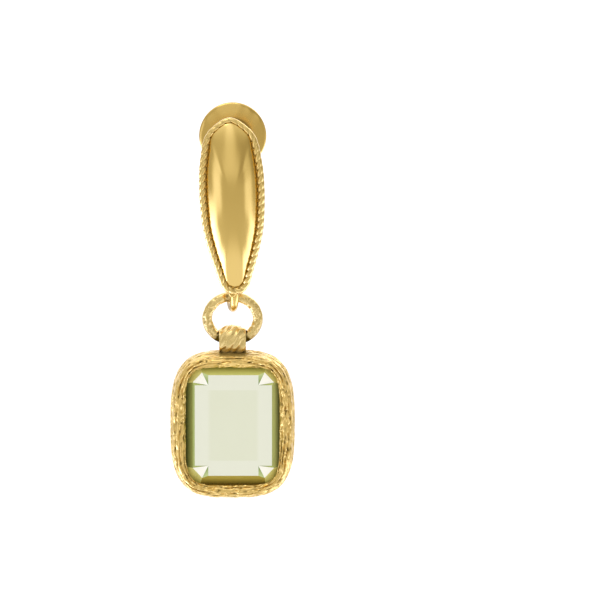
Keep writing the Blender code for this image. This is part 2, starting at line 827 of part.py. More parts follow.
def make_stone(parts):
    """Cushion-shaped stone with a notched table."""
    half_x = OPENING_WIDTH / 2 + STONE_OVERLAP
    half_z = OPENING_HEIGHT / 2 + STONE_OVERLAP
    table_x, table_z = TABLE_WIDTH / 2, TABLE_HEIGHT / 2
    inner_x, inner_z = table_x - NOTCH_WIDTH, table_z - NOTCH_HEIGHT
    girdle_y = stone_girdle_y()
    table_y = girdle_y - CROWN_HEIGHT
    shoulder_y = girdle_y - CROWN_HEIGHT * 0.78
    back_girdle_y = girdle_y + GIRDLE_HEIGHT
    corner = 0.5 ** (1.0 / OPENING_SQUARENESS)

    def quarters(points, y):
        """A loop from the points of the upper right quarter, given from the top edge to the side."""
        upper_right = [(x, z) for x, z in points]
        lower_right = [(x, -z) for x, z in reversed(points)]
        lower_left = [(-x, -z) for x, z in points]
        upper_left = [(-x, z) for x, z in reversed(points)]
        centre = setting_centre_z()
        return [(x, y, centre + z) for x, z in upper_right + lower_right + lower_left + upper_left]

    table = quarters([(inner_x, table_z), (inner_x, inner_z), (table_x, inner_z)], table_y)
    shoulder_points = [
        (table_x * 0.81, table_z * 1.048),
        (table_x * 0.935, table_z * 0.945),
        (table_x * 1.054, table_z * 0.849),
    ]
    shoulder = quarters(shoulder_points, shoulder_y)
    girdle_points = [(half_x * 0.66, half_z * 0.98), (half_x * corner, half_z * corner), (half_x * 0.98, half_z * 0.66)]
    girdle = quarters(girdle_points, girdle_y)
    girdle_back = quarters(girdle_points, back_girdle_y)
    step_points = [(x * 0.6, z * 0.66) for x, z in girdle_points]
    step = quarters(step_points, back_girdle_y + PAVILION_HEIGHT * 0.6)
    keel_points = [(x * 0.08, z * 0.25) for x, z in girdle_points]
    keel = quarters(keel_points, back_girdle_y + PAVILION_HEIGHT)
    stone = loft("stone", [table, shoulder, girdle, girdle_back, step, keel], parts)
    stone.data.shade_flat()
    stone.data.materials.append(finish("green stone", PALE_GREEN, 0.03, 0.0))
    return stone


def hang(name, pivot, pieces, group, parent=None):
    """Puts pieces under an empty that stands on their joint's axis."""
    empty = bpy.data.objects.new(name, None)
    empty.empty_display_size = 1.0 * MM
    group.objects.link(empty)
    empty.location = pivot - (parent.matrix_world.translation if parent else Vector())
    empty.parent = parent
    bpy.context.view_layer.update()
    for piece in pieces:
        piece.parent = empty
        piece.matrix_parent_inverse = empty.matrix_world.inverted()
    return empty


def main():
    """Builds the earring."""
    for obj in list(bpy.data.objects):
        bpy.data.objects.remove(obj, do_unlink=True)
    parts = collection("drop earring")
    tools = collection("drop earring tools")
    make_head(parts, tools)
    lever = make_lever(parts, tools)
    eye = make_eye(parts, tools)
    pin = make_pin(parts)
    ring = make_ring(parts)
    setting = make_setting(parts, tools)
    stone = make_stone(parts)
    bpy.context.view_layer.update()
    hang("lever axis", hinge_point(), (lever, eye, pin), parts)
    ring_axis = hang("ring axis", ring_pivot(), (ring,), parts)
    hang("drop axis", drop_pivot(), (setting, stone), parts, ring_axis)


main()
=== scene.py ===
"""Looks of a drop earring: polished head, rope border, hinged clasp, worked ring and green stone.

The post's axis is the Y axis, the front of the earring faces -Y and the drop hangs down along -Z.
Lengths are in metres.
"""
from __future__ import annotations

import json
import logging
import math
from contextlib import contextmanager
from dataclasses import dataclass, field
from enum import Enum
from typing import Any, Callable, Iterator, Sequence

import bpy
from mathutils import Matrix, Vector, noise

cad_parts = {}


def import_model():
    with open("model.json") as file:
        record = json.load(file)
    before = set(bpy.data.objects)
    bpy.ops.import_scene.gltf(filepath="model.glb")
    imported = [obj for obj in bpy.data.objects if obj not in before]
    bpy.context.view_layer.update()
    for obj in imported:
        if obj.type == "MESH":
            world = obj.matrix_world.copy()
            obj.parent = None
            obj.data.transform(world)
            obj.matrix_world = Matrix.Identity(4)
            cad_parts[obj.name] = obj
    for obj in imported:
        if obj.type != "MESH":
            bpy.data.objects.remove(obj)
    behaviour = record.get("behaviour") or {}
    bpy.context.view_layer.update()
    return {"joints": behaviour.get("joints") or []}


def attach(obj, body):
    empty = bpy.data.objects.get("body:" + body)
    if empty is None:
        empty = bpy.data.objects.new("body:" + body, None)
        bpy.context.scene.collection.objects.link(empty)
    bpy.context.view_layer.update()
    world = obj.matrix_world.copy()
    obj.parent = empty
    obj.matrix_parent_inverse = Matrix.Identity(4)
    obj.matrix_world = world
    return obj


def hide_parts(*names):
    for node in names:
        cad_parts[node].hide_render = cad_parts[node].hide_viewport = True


MM = 0.001
LOG = logging.getLogger("drop earring")

Colour = tuple[float, float, float, float]
Line = tuple[tuple[float, float], ...]
Points = Sequence[tuple[float, float]]
Place = Callable[[float, float], tuple[Vector, float]]

# Steps of a smooth path between two of the points that it is given.
PATH_STEPS = 16
# Edges sharper than this many degrees stay sharp, in a cut piece and in any other.
CUT_ANGLE = 0.5
SMOOTH_ANGLE = 40.0
# Width of the bark's strands and distance between the nicks across them, in millimetres.
STRAND_WIDTH = 0.37
NICK_SPACING = 0.70
# Length over which the bark's end runs into its start, in millimetres.
SEAM = 2.5
# The clasp's hinge, from the post's axis.
HINGE = (0.0, 2.51 * MM, -8.44 * MM)


def srgb(red: int, green: int, blue: int) -> Colour:
    """A colour from its 8-bit screen values.

    Args:
        red: Red from 0 to 255.
        green: Green from 0 to 255.
        blue: Blue from 0 to 255.

    Returns:
        The linear colour with full alpha.
    """
    linear = []
    for value in (red, green, blue):
        share = value / 255
        linear.append(share / 12.92 if share <= 0.04045 else ((share + 0.055) / 1.055) ** 2.4)
    return (*linear, 1.0)


def smooth_path(points: Points, count: int, closed: bool) -> list[Vector]:
    """Evenly spaced points on a smooth curve through the given ones.

    Args:
        points: The 2D points that the curve passes through.
        count: How many points to return.
        closed: Whether the curve returns to its start.

    Returns:
        The 2D points, the last one on the end of an open curve.
    """
    total = len(points)
    fine: list[Vector] = []
    for i in range(total if closed else total - 1):
        p0, p1, p2, p3 = (
            Vector(points[(i + k) % total] if closed else points[min(max(i + k, 0), total - 1)])
            for k in (-1, 0, 1, 2)
        )
        for step in range(PATH_STEPS):
            t = step / PATH_STEPS
            bend = (2 * p0 - 5 * p1 + 4 * p2 - p3) * t ** 2 + (3 * p1 - p0 - 3 * p2 + p3) * t ** 3
            fine.append(0.5 * (2 * p1 + (p2 - p0) * t + bend))
    fine.append(Vector(points[0] if closed else points[-1]))
    lengths = [0.0]
    for start, end in zip(fine, fine[1:]):
        lengths.append(lengths[-1] + (end - start).length)
    spaces = count if closed else count - 1
    result: list[Vector] = []
    segment = 0
    for index in range(count):
        distance = lengths[-1] * index / spaces
        while segment < len(fine) - 2 and lengths[segment + 1] < distance:
            segment += 1
        span = lengths[segment + 1] - lengths[segment]
        share = (distance - lengths[segment]) / span if span else 0.0
        result.append(fine[segment].lerp(fine[segment + 1], share))
    return result


def grain(x: float, y: float, z: float = 0.0) -> float:
    """Smooth noise from -1 to 1 at a point."""
    return noise.noise(Vector((x, y, z)))


def between(value: float, low: float = 0.0, high: float = 1.0) -> float:
    """The value, held between two limits."""
    return min(max(value, low), high)


def soft_step(value: float, low: float, high: float) -> float:
    """A soft step from 0 at the low value to 1 at the high one."""
    share = between((value - low) / (high - low))
    return share * share * (3.0 - 2.0 * share)


def joined(operation: str, swapped: bool = False) -> Callable[[Signal, Any], Signal]:
    """A method of Signal for one operation of the Math node.

    Args:
        operation: The node's operation.
        swapped: Whether the other value comes first.

    Returns:
        The method.
    """

    def method(self: Signal, other: Any) -> Signal:
        """Adds the node for this signal and the other value."""
        return self.maths(operation, *((other, self) if swapped else (self, other)))

    return method


class Signal:
    """A shader value that is worked with as in arithmetic."""

    def __init__(self, tree: bpy.types.NodeTree, socket: bpy.types.NodeSocket) -> None:
        """Wraps an output socket of a tree."""
        self.tree = tree
        self.socket = socket

    def maths(self, operation: str, *values: Any) -> Signal:
        """Adds a Math node.

        Args:
            operation: The node's operation.
            *values: Its two numbers or signals.

        Returns:
            Its result.
        """
        node = self.tree.nodes.new("ShaderNodeMath")
        node.operation = operation
        for socket, value in zip(node.inputs, values):
            if isinstance(value, Signal):
                self.tree.links.new(value.socket, socket)
            else:
                socket.default_value = value
        return Signal(self.tree, node.outputs[0])

    def __abs__(self) -> Signal:
        """Size without its sign."""
        return self.maths("ABSOLUTE", self, 0.0)

    __add__ = __radd__ = joined("ADD")
    __sub__ = joined("SUBTRACT")
    __rsub__ = joined("SUBTRACT", swapped=True)
    __mul__ = __rmul__ = joined("MULTIPLY")
    __truediv__ = joined("DIVIDE")
    __pow__ = joined("POWER")
    __lt__ = joined("LESS_THAN")


class Material:
    """A node tree whose nodes are added by one method."""

    def __init__(self, name: str) -> None:
        """Starts a material with a Principled shader and its output.

        Args:
            name: The material's name.
        """
        self.data = bpy.data.materials.new(name)
        self.data.use_nodes = True
        self.tree = self.data.node_tree
        self.tree.nodes.clear()
        self.shader = self.tree.nodes.new("ShaderNodeBsdfPrincipled")
        output = self.tree.nodes.new("ShaderNodeOutputMaterial")
        self.tree.links.new(self.shader.outputs["BSDF"], output.inputs["Surface"])

    def node(self, kind: str, settings: dict[str, Any] | None = None, **inputs: Any) -> dict[str, Signal]:
        """Adds a node.

        Args:
            kind: The node's type without its ShaderNode prefix.
            settings: Properties that are set before the sockets; stops sets a ramp's places and colours.
            **inputs: Values or signals by socket name, with _ for a space.

        Returns:
            The node's outputs by name.
        """
        node = self.tree.nodes.new(f"ShaderNode{kind}")
        for name, value in (settings or {}).items():
            if name == "stops":
                ramp = node.color_ramp.elements
                while len(ramp) < len(value):
                    ramp.new(0.5)
                for element, (place, colour) in zip(ramp, value):
                    element.position = place
                    element.color = colour
            else:
                setattr(node, name, value)
        self.fill(node, {name.replace("_", " "): value for name, value in inputs.items()})
        return {socket.name: Signal(self.tree, socket) for socket in node.outputs if socket.enabled}

    def fill(self, node: bpy.types.Node, values: dict[str, Any]) -> None:
        """Sets or links a node's sockets.

        Args:
            node: The node.
            values: Values or signals by socket name.
        """
        for name, value in values.items():
            socket = next(s for s in node.inputs if s.name == name and s.enabled)
            if isinstance(value, Signal):
                self.tree.links.new(value.socket, socket)
            else:
                socket.default_value = value

    def rise(self, value: Signal, low: float, high: float) -> Signal:
        """A soft step from 0 at the low value to 1 at the high one."""
        settings = {"interpolation_type": "SMOOTHSTEP"}
        return self.node("MapRange", settings, Value=value, From_Min=low, From_Max=high)["Result"]

    def step(self, value: Signal, edge: float, softness: float) -> Signal:
        """A soft step from 1 below the edge to 0 above it."""
        return self.rise(value, edge + softness, edge - softness)

    def blend(self, factor: Any, first: Any, second: Any, how: str = "MIX") -> Signal:
        """Mixes two colours.

        Args:
            factor: Share of the second colour.
            first: First colour.
            second: Second colour.
            how: The blend type.

        Returns:
            The mixed colour.
        """
        mix = self.node("Mix", {"data_type": "RGBA", "blend_type": how}, Factor=factor, A=first, B=second)
        return mix["Result"]

    def surface(self, **values: Any) -> None:
        """Sets the Principled shader's sockets, with _ for a space in their names."""
        self.fill(self.shader, {name.replace("_", " "): value for name, value in values.items()})


@dataclass(frozen=True)
class GoldFinish:
    """Yellow gold, from mirror polish to a worked surface.

    Attributes:
        name: The material's name.
        tint: Colour of the clean metal.
        patch: Colour that its broad patches lean to.
        patch_share: How far they lean to it at most.
        shade: Colour of the painted shade in its hollows.
        hollow_dulling: How much less metallic the painted shade makes the hollows.
        roughness: Roughness of the clean metal.
        hollow_roughness: What is added to it in the hollows.
        uneven_roughness: How much it varies with the fine marks.
        grain_size: Size of the fine surface marks.
        grain_depth: Height of those marks.
        wave_size: Size of the broad unevenness from polishing.
        wave_depth: Height of the unevenness.
        bump: Strength with which both show.
    """

    name: str
    tint: Colour = (0.885, 0.612, 0.18, 1.0)
    patch: Colour = (0.83, 0.57, 0.14, 1.0)
    patch_share: float = 0.25
    shade: Colour = (0.082, 0.047, 0.002, 1.0)
    hollow_dulling: float = 0.85
    roughness: float = 0.16
    hollow_roughness: float = 0.25
    uneven_roughness: float = 0.10
    grain_size: float = 0.12 * MM
    grain_depth: float = 0.002 * MM
    wave_size: float = 1.6 * MM
    wave_depth: float = 0.004 * MM
    bump: float = 0.6

    def make(self) -> bpy.types.Material:
        """Builds the material.

        Returns:
            The material, which paints shade into the hollows that an attribute of the mesh marks.
        """
        material = Material(self.name)
        place = material.node("TexCoord")["Object"]
        shade_amount = material.node("Attribute", {"attribute_name": "crevice"})["Fac"]
        fine = material.node("TexNoise", Vector=place, Scale=1.0 / self.grain_size, Detail=3.0)["Fac"]
        broad = material.node("TexNoise", Vector=place, Scale=1.0 / self.wave_size, Detail=1.0)["Fac"]
        patches = material.blend(broad * self.patch_share, self.tint, self.patch)
        # Painted shade: where the mesh marks a hollow, the colour turns to the shade colour and the metal
        # loses its shine.
        colour = material.blend(shade_amount, patches, self.shade)
        normal = {}
        for depth, height in ((self.wave_depth, broad), (self.grain_depth, fine)):
            bump = material.node("Bump", Strength=self.bump, Distance=depth, Height=height, **normal)
            normal = {"Normal": bump["Normal"]}
        rough = self.roughness + self.uneven_roughness * (fine - 0.5) + self.hollow_roughness * shade_amount
        metal = 1.0 - self.hollow_dulling * shade_amount
        material.surface(Base_Color=colour, Metallic=metal, Roughness=rough, **normal)
        material.surface(Specular_IOR_Level=0.0)
        return material.data


@dataclass(frozen=True)
class StoneFinish:
    """Polished pale green stone, its facets toned by the light that each sends back.

    Attributes:
        name: The material's name.
        step_half_width: Half the width of the back facets' edge that shows through the table.
        step_half_height: Half its height.
        side_softness: Softness of that edge at its sides.
        end_softness: Softness of that edge at its ends.
        step_tone: Colour of the painted refraction inside that edge.
        step_share: How much of that colour shows at least.
        cloud_share: What the cloudiness adds to that.
        cloud_size: Size of the clouds.
        table_margin: How far behind the table a point still counts as on it.
    """

    name: str = "green stone"
    step_half_width: float = 2.16 * MM
    step_half_height: float = 3.15 * MM
    side_softness: float = 0.22 * MM
    end_softness: float = 0.04 * MM
    step_tone: Colour = srgb(213, 214, 188)
    step_share: float = 0.65
    cloud_share: float = 0.3
    cloud_size: float = 2.6 * MM
    table_margin: float = 0.02 * MM

    def make(self, centre: Vector, table_y: float) -> bpy.types.Material:
        """Builds the material.

        Args:
            centre: Middle of the table.
            table_y: Place of the table along Y.

        Returns:
            The material, which reads each facet's painted light from the mesh.
        """
        material = Material(self.name)
        place = material.node("TexCoord")["Object"]
        axes = material.node("SeparateXYZ", Vector=place)
        facet_light = material.node("Attribute", {"attribute_name": "facet_tone"})["Color"]
        # Painted refraction: inside the back facets' edge the table takes the step tone, as seen through
        # the stone, its share varied by noise.
        across = material.step(abs(axes["X"] - centre.x), self.step_half_width, self.side_softness)
        upwards = material.step(abs(axes["Z"] - centre.z), self.step_half_height, self.end_softness)
        front = axes["Y"] < table_y + self.table_margin
        inside = across * upwards * front
        cloud = material.node("TexNoise", Vector=place, Scale=1.0 / self.cloud_size, Detail=1.0)["Fac"]
        share = inside * (self.step_share + self.cloud_share * cloud)
        colour = material.blend(share, facet_light, self.step_tone)
        material.surface(Base_Color=colour, Roughness=0.03, IOR=1.55, Specular_IOR_Level=0.6)
        # Painted glow: the stone also gives off a little of its own colour as emission, though it is no
        # lamp.
        material.surface(Emission_Color=colour, Emission_Strength=0.12, Transmission_Weight=0.15)
        return material.data


class Workbench:
    """Modelling steps that the pieces share, done as by hand with Blender's operators."""

    @staticmethod
    def clear() -> None:
        """Leaves nothing selected, in object mode."""
        if bpy.context.object and bpy.context.object.mode != "OBJECT":
            bpy.ops.object.mode_set(mode="OBJECT")
        bpy.ops.object.select_all(action="DESELECT")

    @staticmethod
    def choose(piece: bpy.types.Object) -> None:
        """Selects one piece alone and makes it active.

        Args:
            piece: The piece.
        """
        Workbench.clear()
        piece.select_set(True)
        bpy.context.view_layer.objects.active = piece

    @staticmethod
    def named(name: str) -> bpy.types.Object:
        """Names the object that was just added and returns it."""
        bpy.context.object.name = name
        return bpy.context.object

    @staticmethod
    @contextmanager
    def editing(action: str = "SELECT") -> Iterator[None]:
        """Edit mode with all or nothing selected, and object mode again after it.

        Args:
            action: SELECT or DESELECT.

        Yields:
            Nothing.
        """
        bpy.ops.object.mode_set(mode="EDIT")
        bpy.ops.mesh.select_all(action=action)
        yield
        bpy.ops.object.mode_set(mode="OBJECT")

    @staticmethod
    def pick_faces(piece: bpy.types.Object, wanted: Callable[[bpy.types.MeshPolygon], bool]) -> None:
        """Selects the faces that pass a test and stays in edit mode.

        Args:
            piece: The piece.
            wanted: The test.
        """
        Workbench.choose(piece)
        with Workbench.editing("DESELECT"):
            bpy.ops.mesh.select_mode(type="FACE")
        for face in piece.data.polygons:
            face.select = wanted(face)
        bpy.ops.object.mode_set(mode="EDIT")

    @staticmethod
    def extrude(way: tuple[float, float, float]) -> None:
        """Extrudes what is selected in edit mode."""
        bpy.ops.mesh.extrude_region_move(TRANSFORM_OT_translate={"value": way})

    @staticmethod
    def settle(piece: bpy.types.Object, angle: float, plates: bool) -> None:
        """Applies the piece's place, turns its faces outwards and shades it smooth.

        Args:
            piece: The finished piece.
            angle: Edges sharper than this many degrees stay sharp.
            plates: Whether it has large flat faces between small round edges.
        """
        Workbench.choose(piece)
        bpy.ops.object.transform_apply(location=True, rotation=True, scale=True)
        with Workbench.editing():
            bpy.ops.mesh.normals_make_consistent(inside=False)
        bpy.ops.object.shade_smooth_by_angle(angle=math.radians(angle))
        if plates:
            modifier = piece.modifiers.new("even shading", "WEIGHTED_NORMAL")
            modifier.weight = 80
            modifier.keep_sharp = True
            bpy.ops.object.modifier_apply(modifier=modifier.name)
        Workbench.clear()

    @staticmethod
    def shape(piece: bpy.types.Object, moved: list[tuple[Vector, float]]) -> None:
        """Moves a mesh's points and stores the painted shade of each.

        Args:
            piece: The piece.
            moved: Each point's new place and its crevice value, in the mesh's order.
        """
        mesh = piece.data
        for vertex, (place, _) in zip(mesh.vertices, moved):
            vertex.co = place
        # Each point's painted shade goes into a mesh attribute that the gold darkens by.
        shade_amount = mesh.attributes.new("crevice", "FLOAT", "POINT")
        for item, (_, value) in zip(shade_amount.data, moved):
            item.value = between(value)
        mesh.update()

    @staticmethod
    def torus(name: str, around: int, across: int, cuts: int, place: Place) -> bpy.types.Object:
        """A ring-shaped piece.

        Args:
            name: The piece's name.
            around: Faces around the ring.
            across: Faces around its section.
            cuts: Into how many each face of the primitive is subdivided along an edge.
            place: Gives a point and its crevice value from its shares around and across.

        Returns:
            The piece.
        """
        Workbench.clear()
        bpy.ops.mesh.primitive_torus_add(
            major_segments=around // cuts,
            minor_segments=across // cuts,
            major_radius=1.0,
            minor_radius=0.25,
        )
        piece = Workbench.named(name)
        if cuts > 1:
            with Workbench.editing():
                bpy.ops.mesh.subdivide(number_cuts=cuts - 1)
        moved = []
        for vertex in piece.data.vertices:
            x, y, z = vertex.co
            turn = round(math.atan2(y, x) / math.tau * around) % around
            side = round(math.atan2(z, math.hypot(x, y) - 1.0) / math.tau * across) % across
            moved.append(place(turn / around, side / across))
        Workbench.shape(piece, moved)
        return piece

    @staticmethod
    def ball(name: str, segments: int, rings: int, place: Place) -> bpy.types.Object:
        """A closed piece with two poles.

        Args:
            name: The piece's name.
            segments: Faces round each ring.
            rings: Rows of faces from pole to pole.
            place: Gives a point and its crevice value from its shares around and from pole to pole.

        Returns:
            The piece.
        """
        Workbench.clear()
        bpy.ops.mesh.primitive_uv_sphere_add(segments=segments, ring_count=rings, radius=1.0)
        piece = Workbench.named(name)
        moved = []
        for vertex in piece.data.vertices:
            x, y, z = vertex.co
            ring = round(math.acos(between(z, -1.0)) / math.pi * rings)
            segment = 0 if ring in (0, rings) else round(math.atan2(y, x) / math.tau * segments) % segments
            moved.append(place(segment / segments, ring / rings))
        Workbench.shape(piece, moved)
        return piece

    @staticmethod
    def slab(name: str, outline: Points, width: float) -> bpy.types.Object:
        """A plate that stands in the YZ plane, centred on X = 0.

        Args:
            name: The piece's name.
            outline: Its (y, z) outline.
            width: Its width along X.

        Returns:
            The piece, with plain edges.
        """
        Workbench.clear()
        count = len(outline)
        bpy.ops.mesh.primitive_circle_add(vertices=count, radius=1.0, fill_type="NGON")
        piece = Workbench.named(name)
        for vertex in piece.data.vertices:
            turn = round(math.atan2(vertex.co.y, vertex.co.x) / math.tau * count) % count
            vertex.co = Vector((-width / 2, *outline[turn]))
        with Workbench.editing():
            Workbench.extrude((width, 0.0, 0.0))
            bpy.ops.mesh.select_all(action="SELECT")
            bpy.ops.mesh.normals_make_consistent(inside=False)
        return piece

    @staticmethod
    def rod(
        name: str, radius: float, length: float, centre: Vector, axis: str, sides: int
    ) -> bpy.types.Object:
        """A cylinder along the X or the Y axis, its place applied.

        Args:
            name: The piece's name.
            radius: Its radius.
            length: Its length.
            centre: Its centre.
            axis: X or Y.
            sides: How many sides it has.

        Returns:
            The piece, with plain ends.
        """
        Workbench.clear()
        turn = (0.0, math.pi / 2, 0.0) if axis == "X" else (math.pi / 2, 0.0, 0.0)
        bpy.ops.mesh.primitive_cylinder_add(
            vertices=sides, radius=radius, depth=length, location=centre, rotation=turn
        )
        piece = Workbench.named(name)
        bpy.ops.object.transform_apply(location=True, rotation=True, scale=True)
        return piece

    @staticmethod
    def combine(piece: bpy.types.Object, tool: bpy.types.Object, how: str) -> None:
        """Joins or cuts a piece with another, which is used up.

        Args:
            piece: The piece that stays.
            tool: The piece that is used up.
            how: UNION or DIFFERENCE.
        """
        Workbench.choose(piece)
        modifier = piece.modifiers.new(how.lower(), "BOOLEAN")
        modifier.operation = how
        modifier.solver = "EXACT"
        modifier.object = tool
        bpy.ops.object.modifier_apply(modifier=modifier.name)
        bpy.data.objects.remove(tool)

    @staticmethod
    def soften(piece: bpy.types.Object, width: float, segments: int, angle: float) -> None:
        """Rounds a piece's sharp edges.

        Args:
            piece: The piece.
            width: Width of the rounding.
            segments: Faces across it.
            angle: Edges sharper than this many degrees are rounded.
        """
        Workbench.choose(piece)
        modifier = piece.modifiers.new("soft edges", "BEVEL")
        modifier.width = width
        modifier.segments = segments
        modifier.limit_method = "ANGLE"
        modifier.angle_limit = math.radians(angle)
        modifier.use_clamp_overlap = True
        bpy.ops.object.modifier_apply(modifier=modifier.name)


class Kind(Enum):
    """How a piece's faces meet."""

    ROUND = "rounded all over"
    PLATE = "flat faces with soft edges"
    CUT = "flat facets"


def dress(
    piece: bpy.types.Object,
    finish: bpy.types.Material,
    body: str,
    node: str,
    kind: Kind = Kind.ROUND,
) -> None:
    """Finishes a piece and gives it to the body that it moves with.

    Args:
        piece: The modelled piece.
        finish: Its material.
        body: The body that it rides on.
        node: The node that it stands for.
        kind: How its faces meet.
    """
    Workbench.settle(piece, CUT_ANGLE if kind is Kind.CUT else SMOOTH_ANGLE, kind is Kind.PLATE)
    piece.data.materials.clear()
    piece.data.materials.append(finish)
    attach(piece, body)
    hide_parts(node)
    LOG.info("%s: %d faces, rides on %s", piece.name, len(piece.data.polygons), body)


@dataclass
class Head:
    """Teardrop plaque with its rope border, post, bow and the small loop.

    Attributes:
        width: Width over the border.
        height: Height over the border.
        top: Its top above the post's axis.
        forward: The border's centre in front of the origin, at the widest place.
        curve_top: How far the top lies behind the widest place.
        curve_tip: The same for the bottom tip.
        lean: How far the head leans to the viewer's left.
        top_zone: Depths under the top edge between which its thinner border sets in.
        dome_faces: The dome's faces around and from pole to pole.
        dome_height: Height of the dome over its thin rim.
        rim_start: How far in the rim starts, as a share of the border's diameter.
        rim_start_top: The same at the head's top.
        rim_width: Width of the rim.
        rim_top: Width of the rim at the head's top, as a share of that width.
        rim_row: Share of the dome's rows of faces that lie inside the rim.
        back_row: Share of them where the back plate begins.
        rim_height: Height of the rim.
        rounder_top: How much wider the dome is drawn at its top.
        rope: Diameter of the border.
        rope_faces: The border's faces along a twist and across.
        top_rope: Thickness of the border at the top, as a share of its diameter.
        twists: Full twists of the border's two strands.
        bite: Depth between the strands, at the outer side and what is added at the inner one.
        uneven: How much the strands' turn and the depth between them vary.
        post: Diameter of the ear post.
        post_reach: How far its tip lies behind the origin.
        post_point: Length of its tapered tip.
        bow_width: Width of the bow's strip.
        bow_thickness: Its thickness.
        bow_start: How far under the post's axis it leaves the head.
        bow_sag: How far it sags under the hinge.
        hinge: The hinge's centre.
        knuckle: Diameter of the hinge's knuckle.
        knuckle_width: Its width.
        bore: Diameter of the hole in it.
        loop: Outer diameter of the small loop.
        loop_wire: Diameter of its wire.
        loop_turn: How far it is turned about the upright axis.
        loop_wear: Extra metal under it.
        drop_y: Place of the loop and the drop along Y.
        solder: How far the loop sinks into the bow.
        solder_bar: Diameter of the soldered neck.
        outline: Share of the height from the top, and share of half the width.
        bow_line: Share of the way from the head to the hinge, and share of the sag.
        widest_share: Share of the height where the head is widest.
        centre_share: Share of the height where the dome is highest.
    """

    width: float = 5.84 * MM
    height: float = 15.84 * MM
    top: float = 3.55 * MM
    forward: float = 4.14 * MM
    curve_top: float = 0.45 * MM
    curve_tip: float = 0.94 * MM
    lean: float = math.radians(1.7)
    top_zone: tuple[float, float] = (3.2 * MM, 0.7 * MM)
    dome_faces: tuple[int, int] = (176, 84)
    dome_height: float = 1.08 * MM
    rim_start: float = 0.72
    rim_start_top: float = 0.50
    rim_width: float = 0.16 * MM
    rim_top: float = 0.7
    rim_row: float = 0.66
    back_row: float = 0.78
    rim_height: float = 0.10 * MM
    rounder_top: float = 0.15
    rope: float = 0.66 * MM
    rope_faces: tuple[int, int] = (24, 20)
    top_rope: float = 0.76
    twists: int = 26
    bite: tuple[float, float] = (0.16, 0.28)
    uneven: tuple[float, float] = (0.25, 0.06)
    post: float = 0.93 * MM
    post_reach: float = 6.65 * MM
    post_point: float = 0.45 * MM
    bow_width: float = 1.25 * MM
    bow_thickness: float = 0.68 * MM
    bow_start: float = 8.5 * MM
    bow_sag: float = 1.78 * MM
    hinge: Vector = field(default_factory=lambda: Vector(HINGE))
    knuckle: float = 1.7 * MM
    knuckle_width: float = 1.35 * MM
    bore: float = 0.87 * MM
    loop: float = 3.6 * MM
    loop_wire: float = 0.77 * MM
    loop_turn: float = math.radians(8.0)
    loop_wear: float = 0.10 * MM
    drop_y: float = -0.82 * MM
    solder: float = 0.12 * MM
    solder_bar: float = 0.62 * MM
    outline: Line = (
        (0.0, 0.0),
        (0.031, 0.38),
        (0.104, 0.77),
        (0.246, 0.95),
        (0.375, 1.0),
        (0.500, 0.985),
        (0.636, 0.91),
        (0.773, 0.72),
        (0.864, 0.555),
        (0.955, 0.385),
        (0.990, 0.22),
        (1.0, 0.0),
    )
    bow_line: Line = (
        (0.00, 0.04),
        (0.147, 0.40),
        (0.257, 0.70),
        (0.426, 0.965),
        (0.594, 1.00),
        (0.740, 0.86),
        (0.860, 0.58),
        (1.00, 0.00),
    )
    widest_share: float = 0.375
    centre_share: float = 0.43

    def border_y(self, z: float) -> float:
        """Place of the border's centre along Y at a height.

        Args:
            z: The height.

        Returns:
            The place.
        """
        widest = self.top - self.widest_share * self.height
        if z > widest:
            share = (z - widest) / (self.top - widest)
            return -self.forward + self.curve_top * share ** 2
        share = (widest - z) / (widest - (self.top - self.height))
        return -self.forward + self.curve_tip * share ** 2

    def edge(self, inset: float, count: int) -> list[Vector]:
        """The teardrop as 2D points.

        Args:
            inset: How far inside the head's edge it lies.
            count: How many points.

        Returns:
            The (x, z) points, from the top clockwise.
        """
        half_width = self.width / 2 - inset
        top = self.top - inset
        height = self.height - 2 * inset
        right = [(half_width * width, top - height * down) for down, width in self.outline]
        left = [(-x, z) for x, z in reversed(right[1:-1])]
        middle = self.top - self.height / 2
        path = smooth_path(right + left, count, closed=True)
        return [Vector((p.x - math.tan(self.lean) * (p.y - middle), p.y)) for p in path]

    def near_top(self, z: float) -> float:
        """How near a height is to the head's top, from 0 to 1."""
        start, full = self.top_zone
        return soft_step(z, self.top - start, self.top - full)

    def make_dome(self) -> bpy.types.Object:
        """The polished dome and the back plate.

        Returns:
            The piece.
        """
        around, rows = self.dome_faces
        rims = []
        for width, top_width in ((0.0, 0.0), (self.rim_width, self.rim_width * self.rim_top)):
            rim = self.edge(self.rope * self.rim_start + width, around)
            top_rim = self.edge(self.rope * self.rim_start_top + top_width, around)
            for index, (point, top_point) in enumerate(zip(rim, top_rim)):
                share = self.near_top(point.y)
                rounder = 1.0 + self.rounder_top * share
                rim[index] = point.lerp(Vector((top_point.x * rounder, top_point.y)), share)
            rims.append(rim)
        edge, foot = rims
        centre = Vector((0.0, self.top - self.centre_share * self.height))

        def place(turn: float, down: float) -> tuple[Vector, float]:
            """A point of the dome, its thin rim or the back plate.

            Args:
                turn: Share of the way round.
                down: Share of the way from pole to pole.

            Returns:
                The point and its crevice value.
            """
            index = round(turn * around) % around
            shade_amount = 0.0
            if down <= self.rim_row:
                share = math.sin(down / self.rim_row * math.pi / 2)
                lift = -self.rim_height * 0.3 - self.dome_height * max(0.0, 1.0 - share ** 2) ** 0.8
                # Painted shade: a thin dark line where the dome meets its rim.
                shade_amount = 0.45 * between((share - 0.985) / 0.015)
                point = centre + (foot[index] - centre) * share
            elif down <= self.back_row:
                across = (down - self.rim_row) / (self.back_row - self.rim_row)
                lift = -self.rim_height * math.sin(math.pi * between(across * 1.35)) ** 0.6
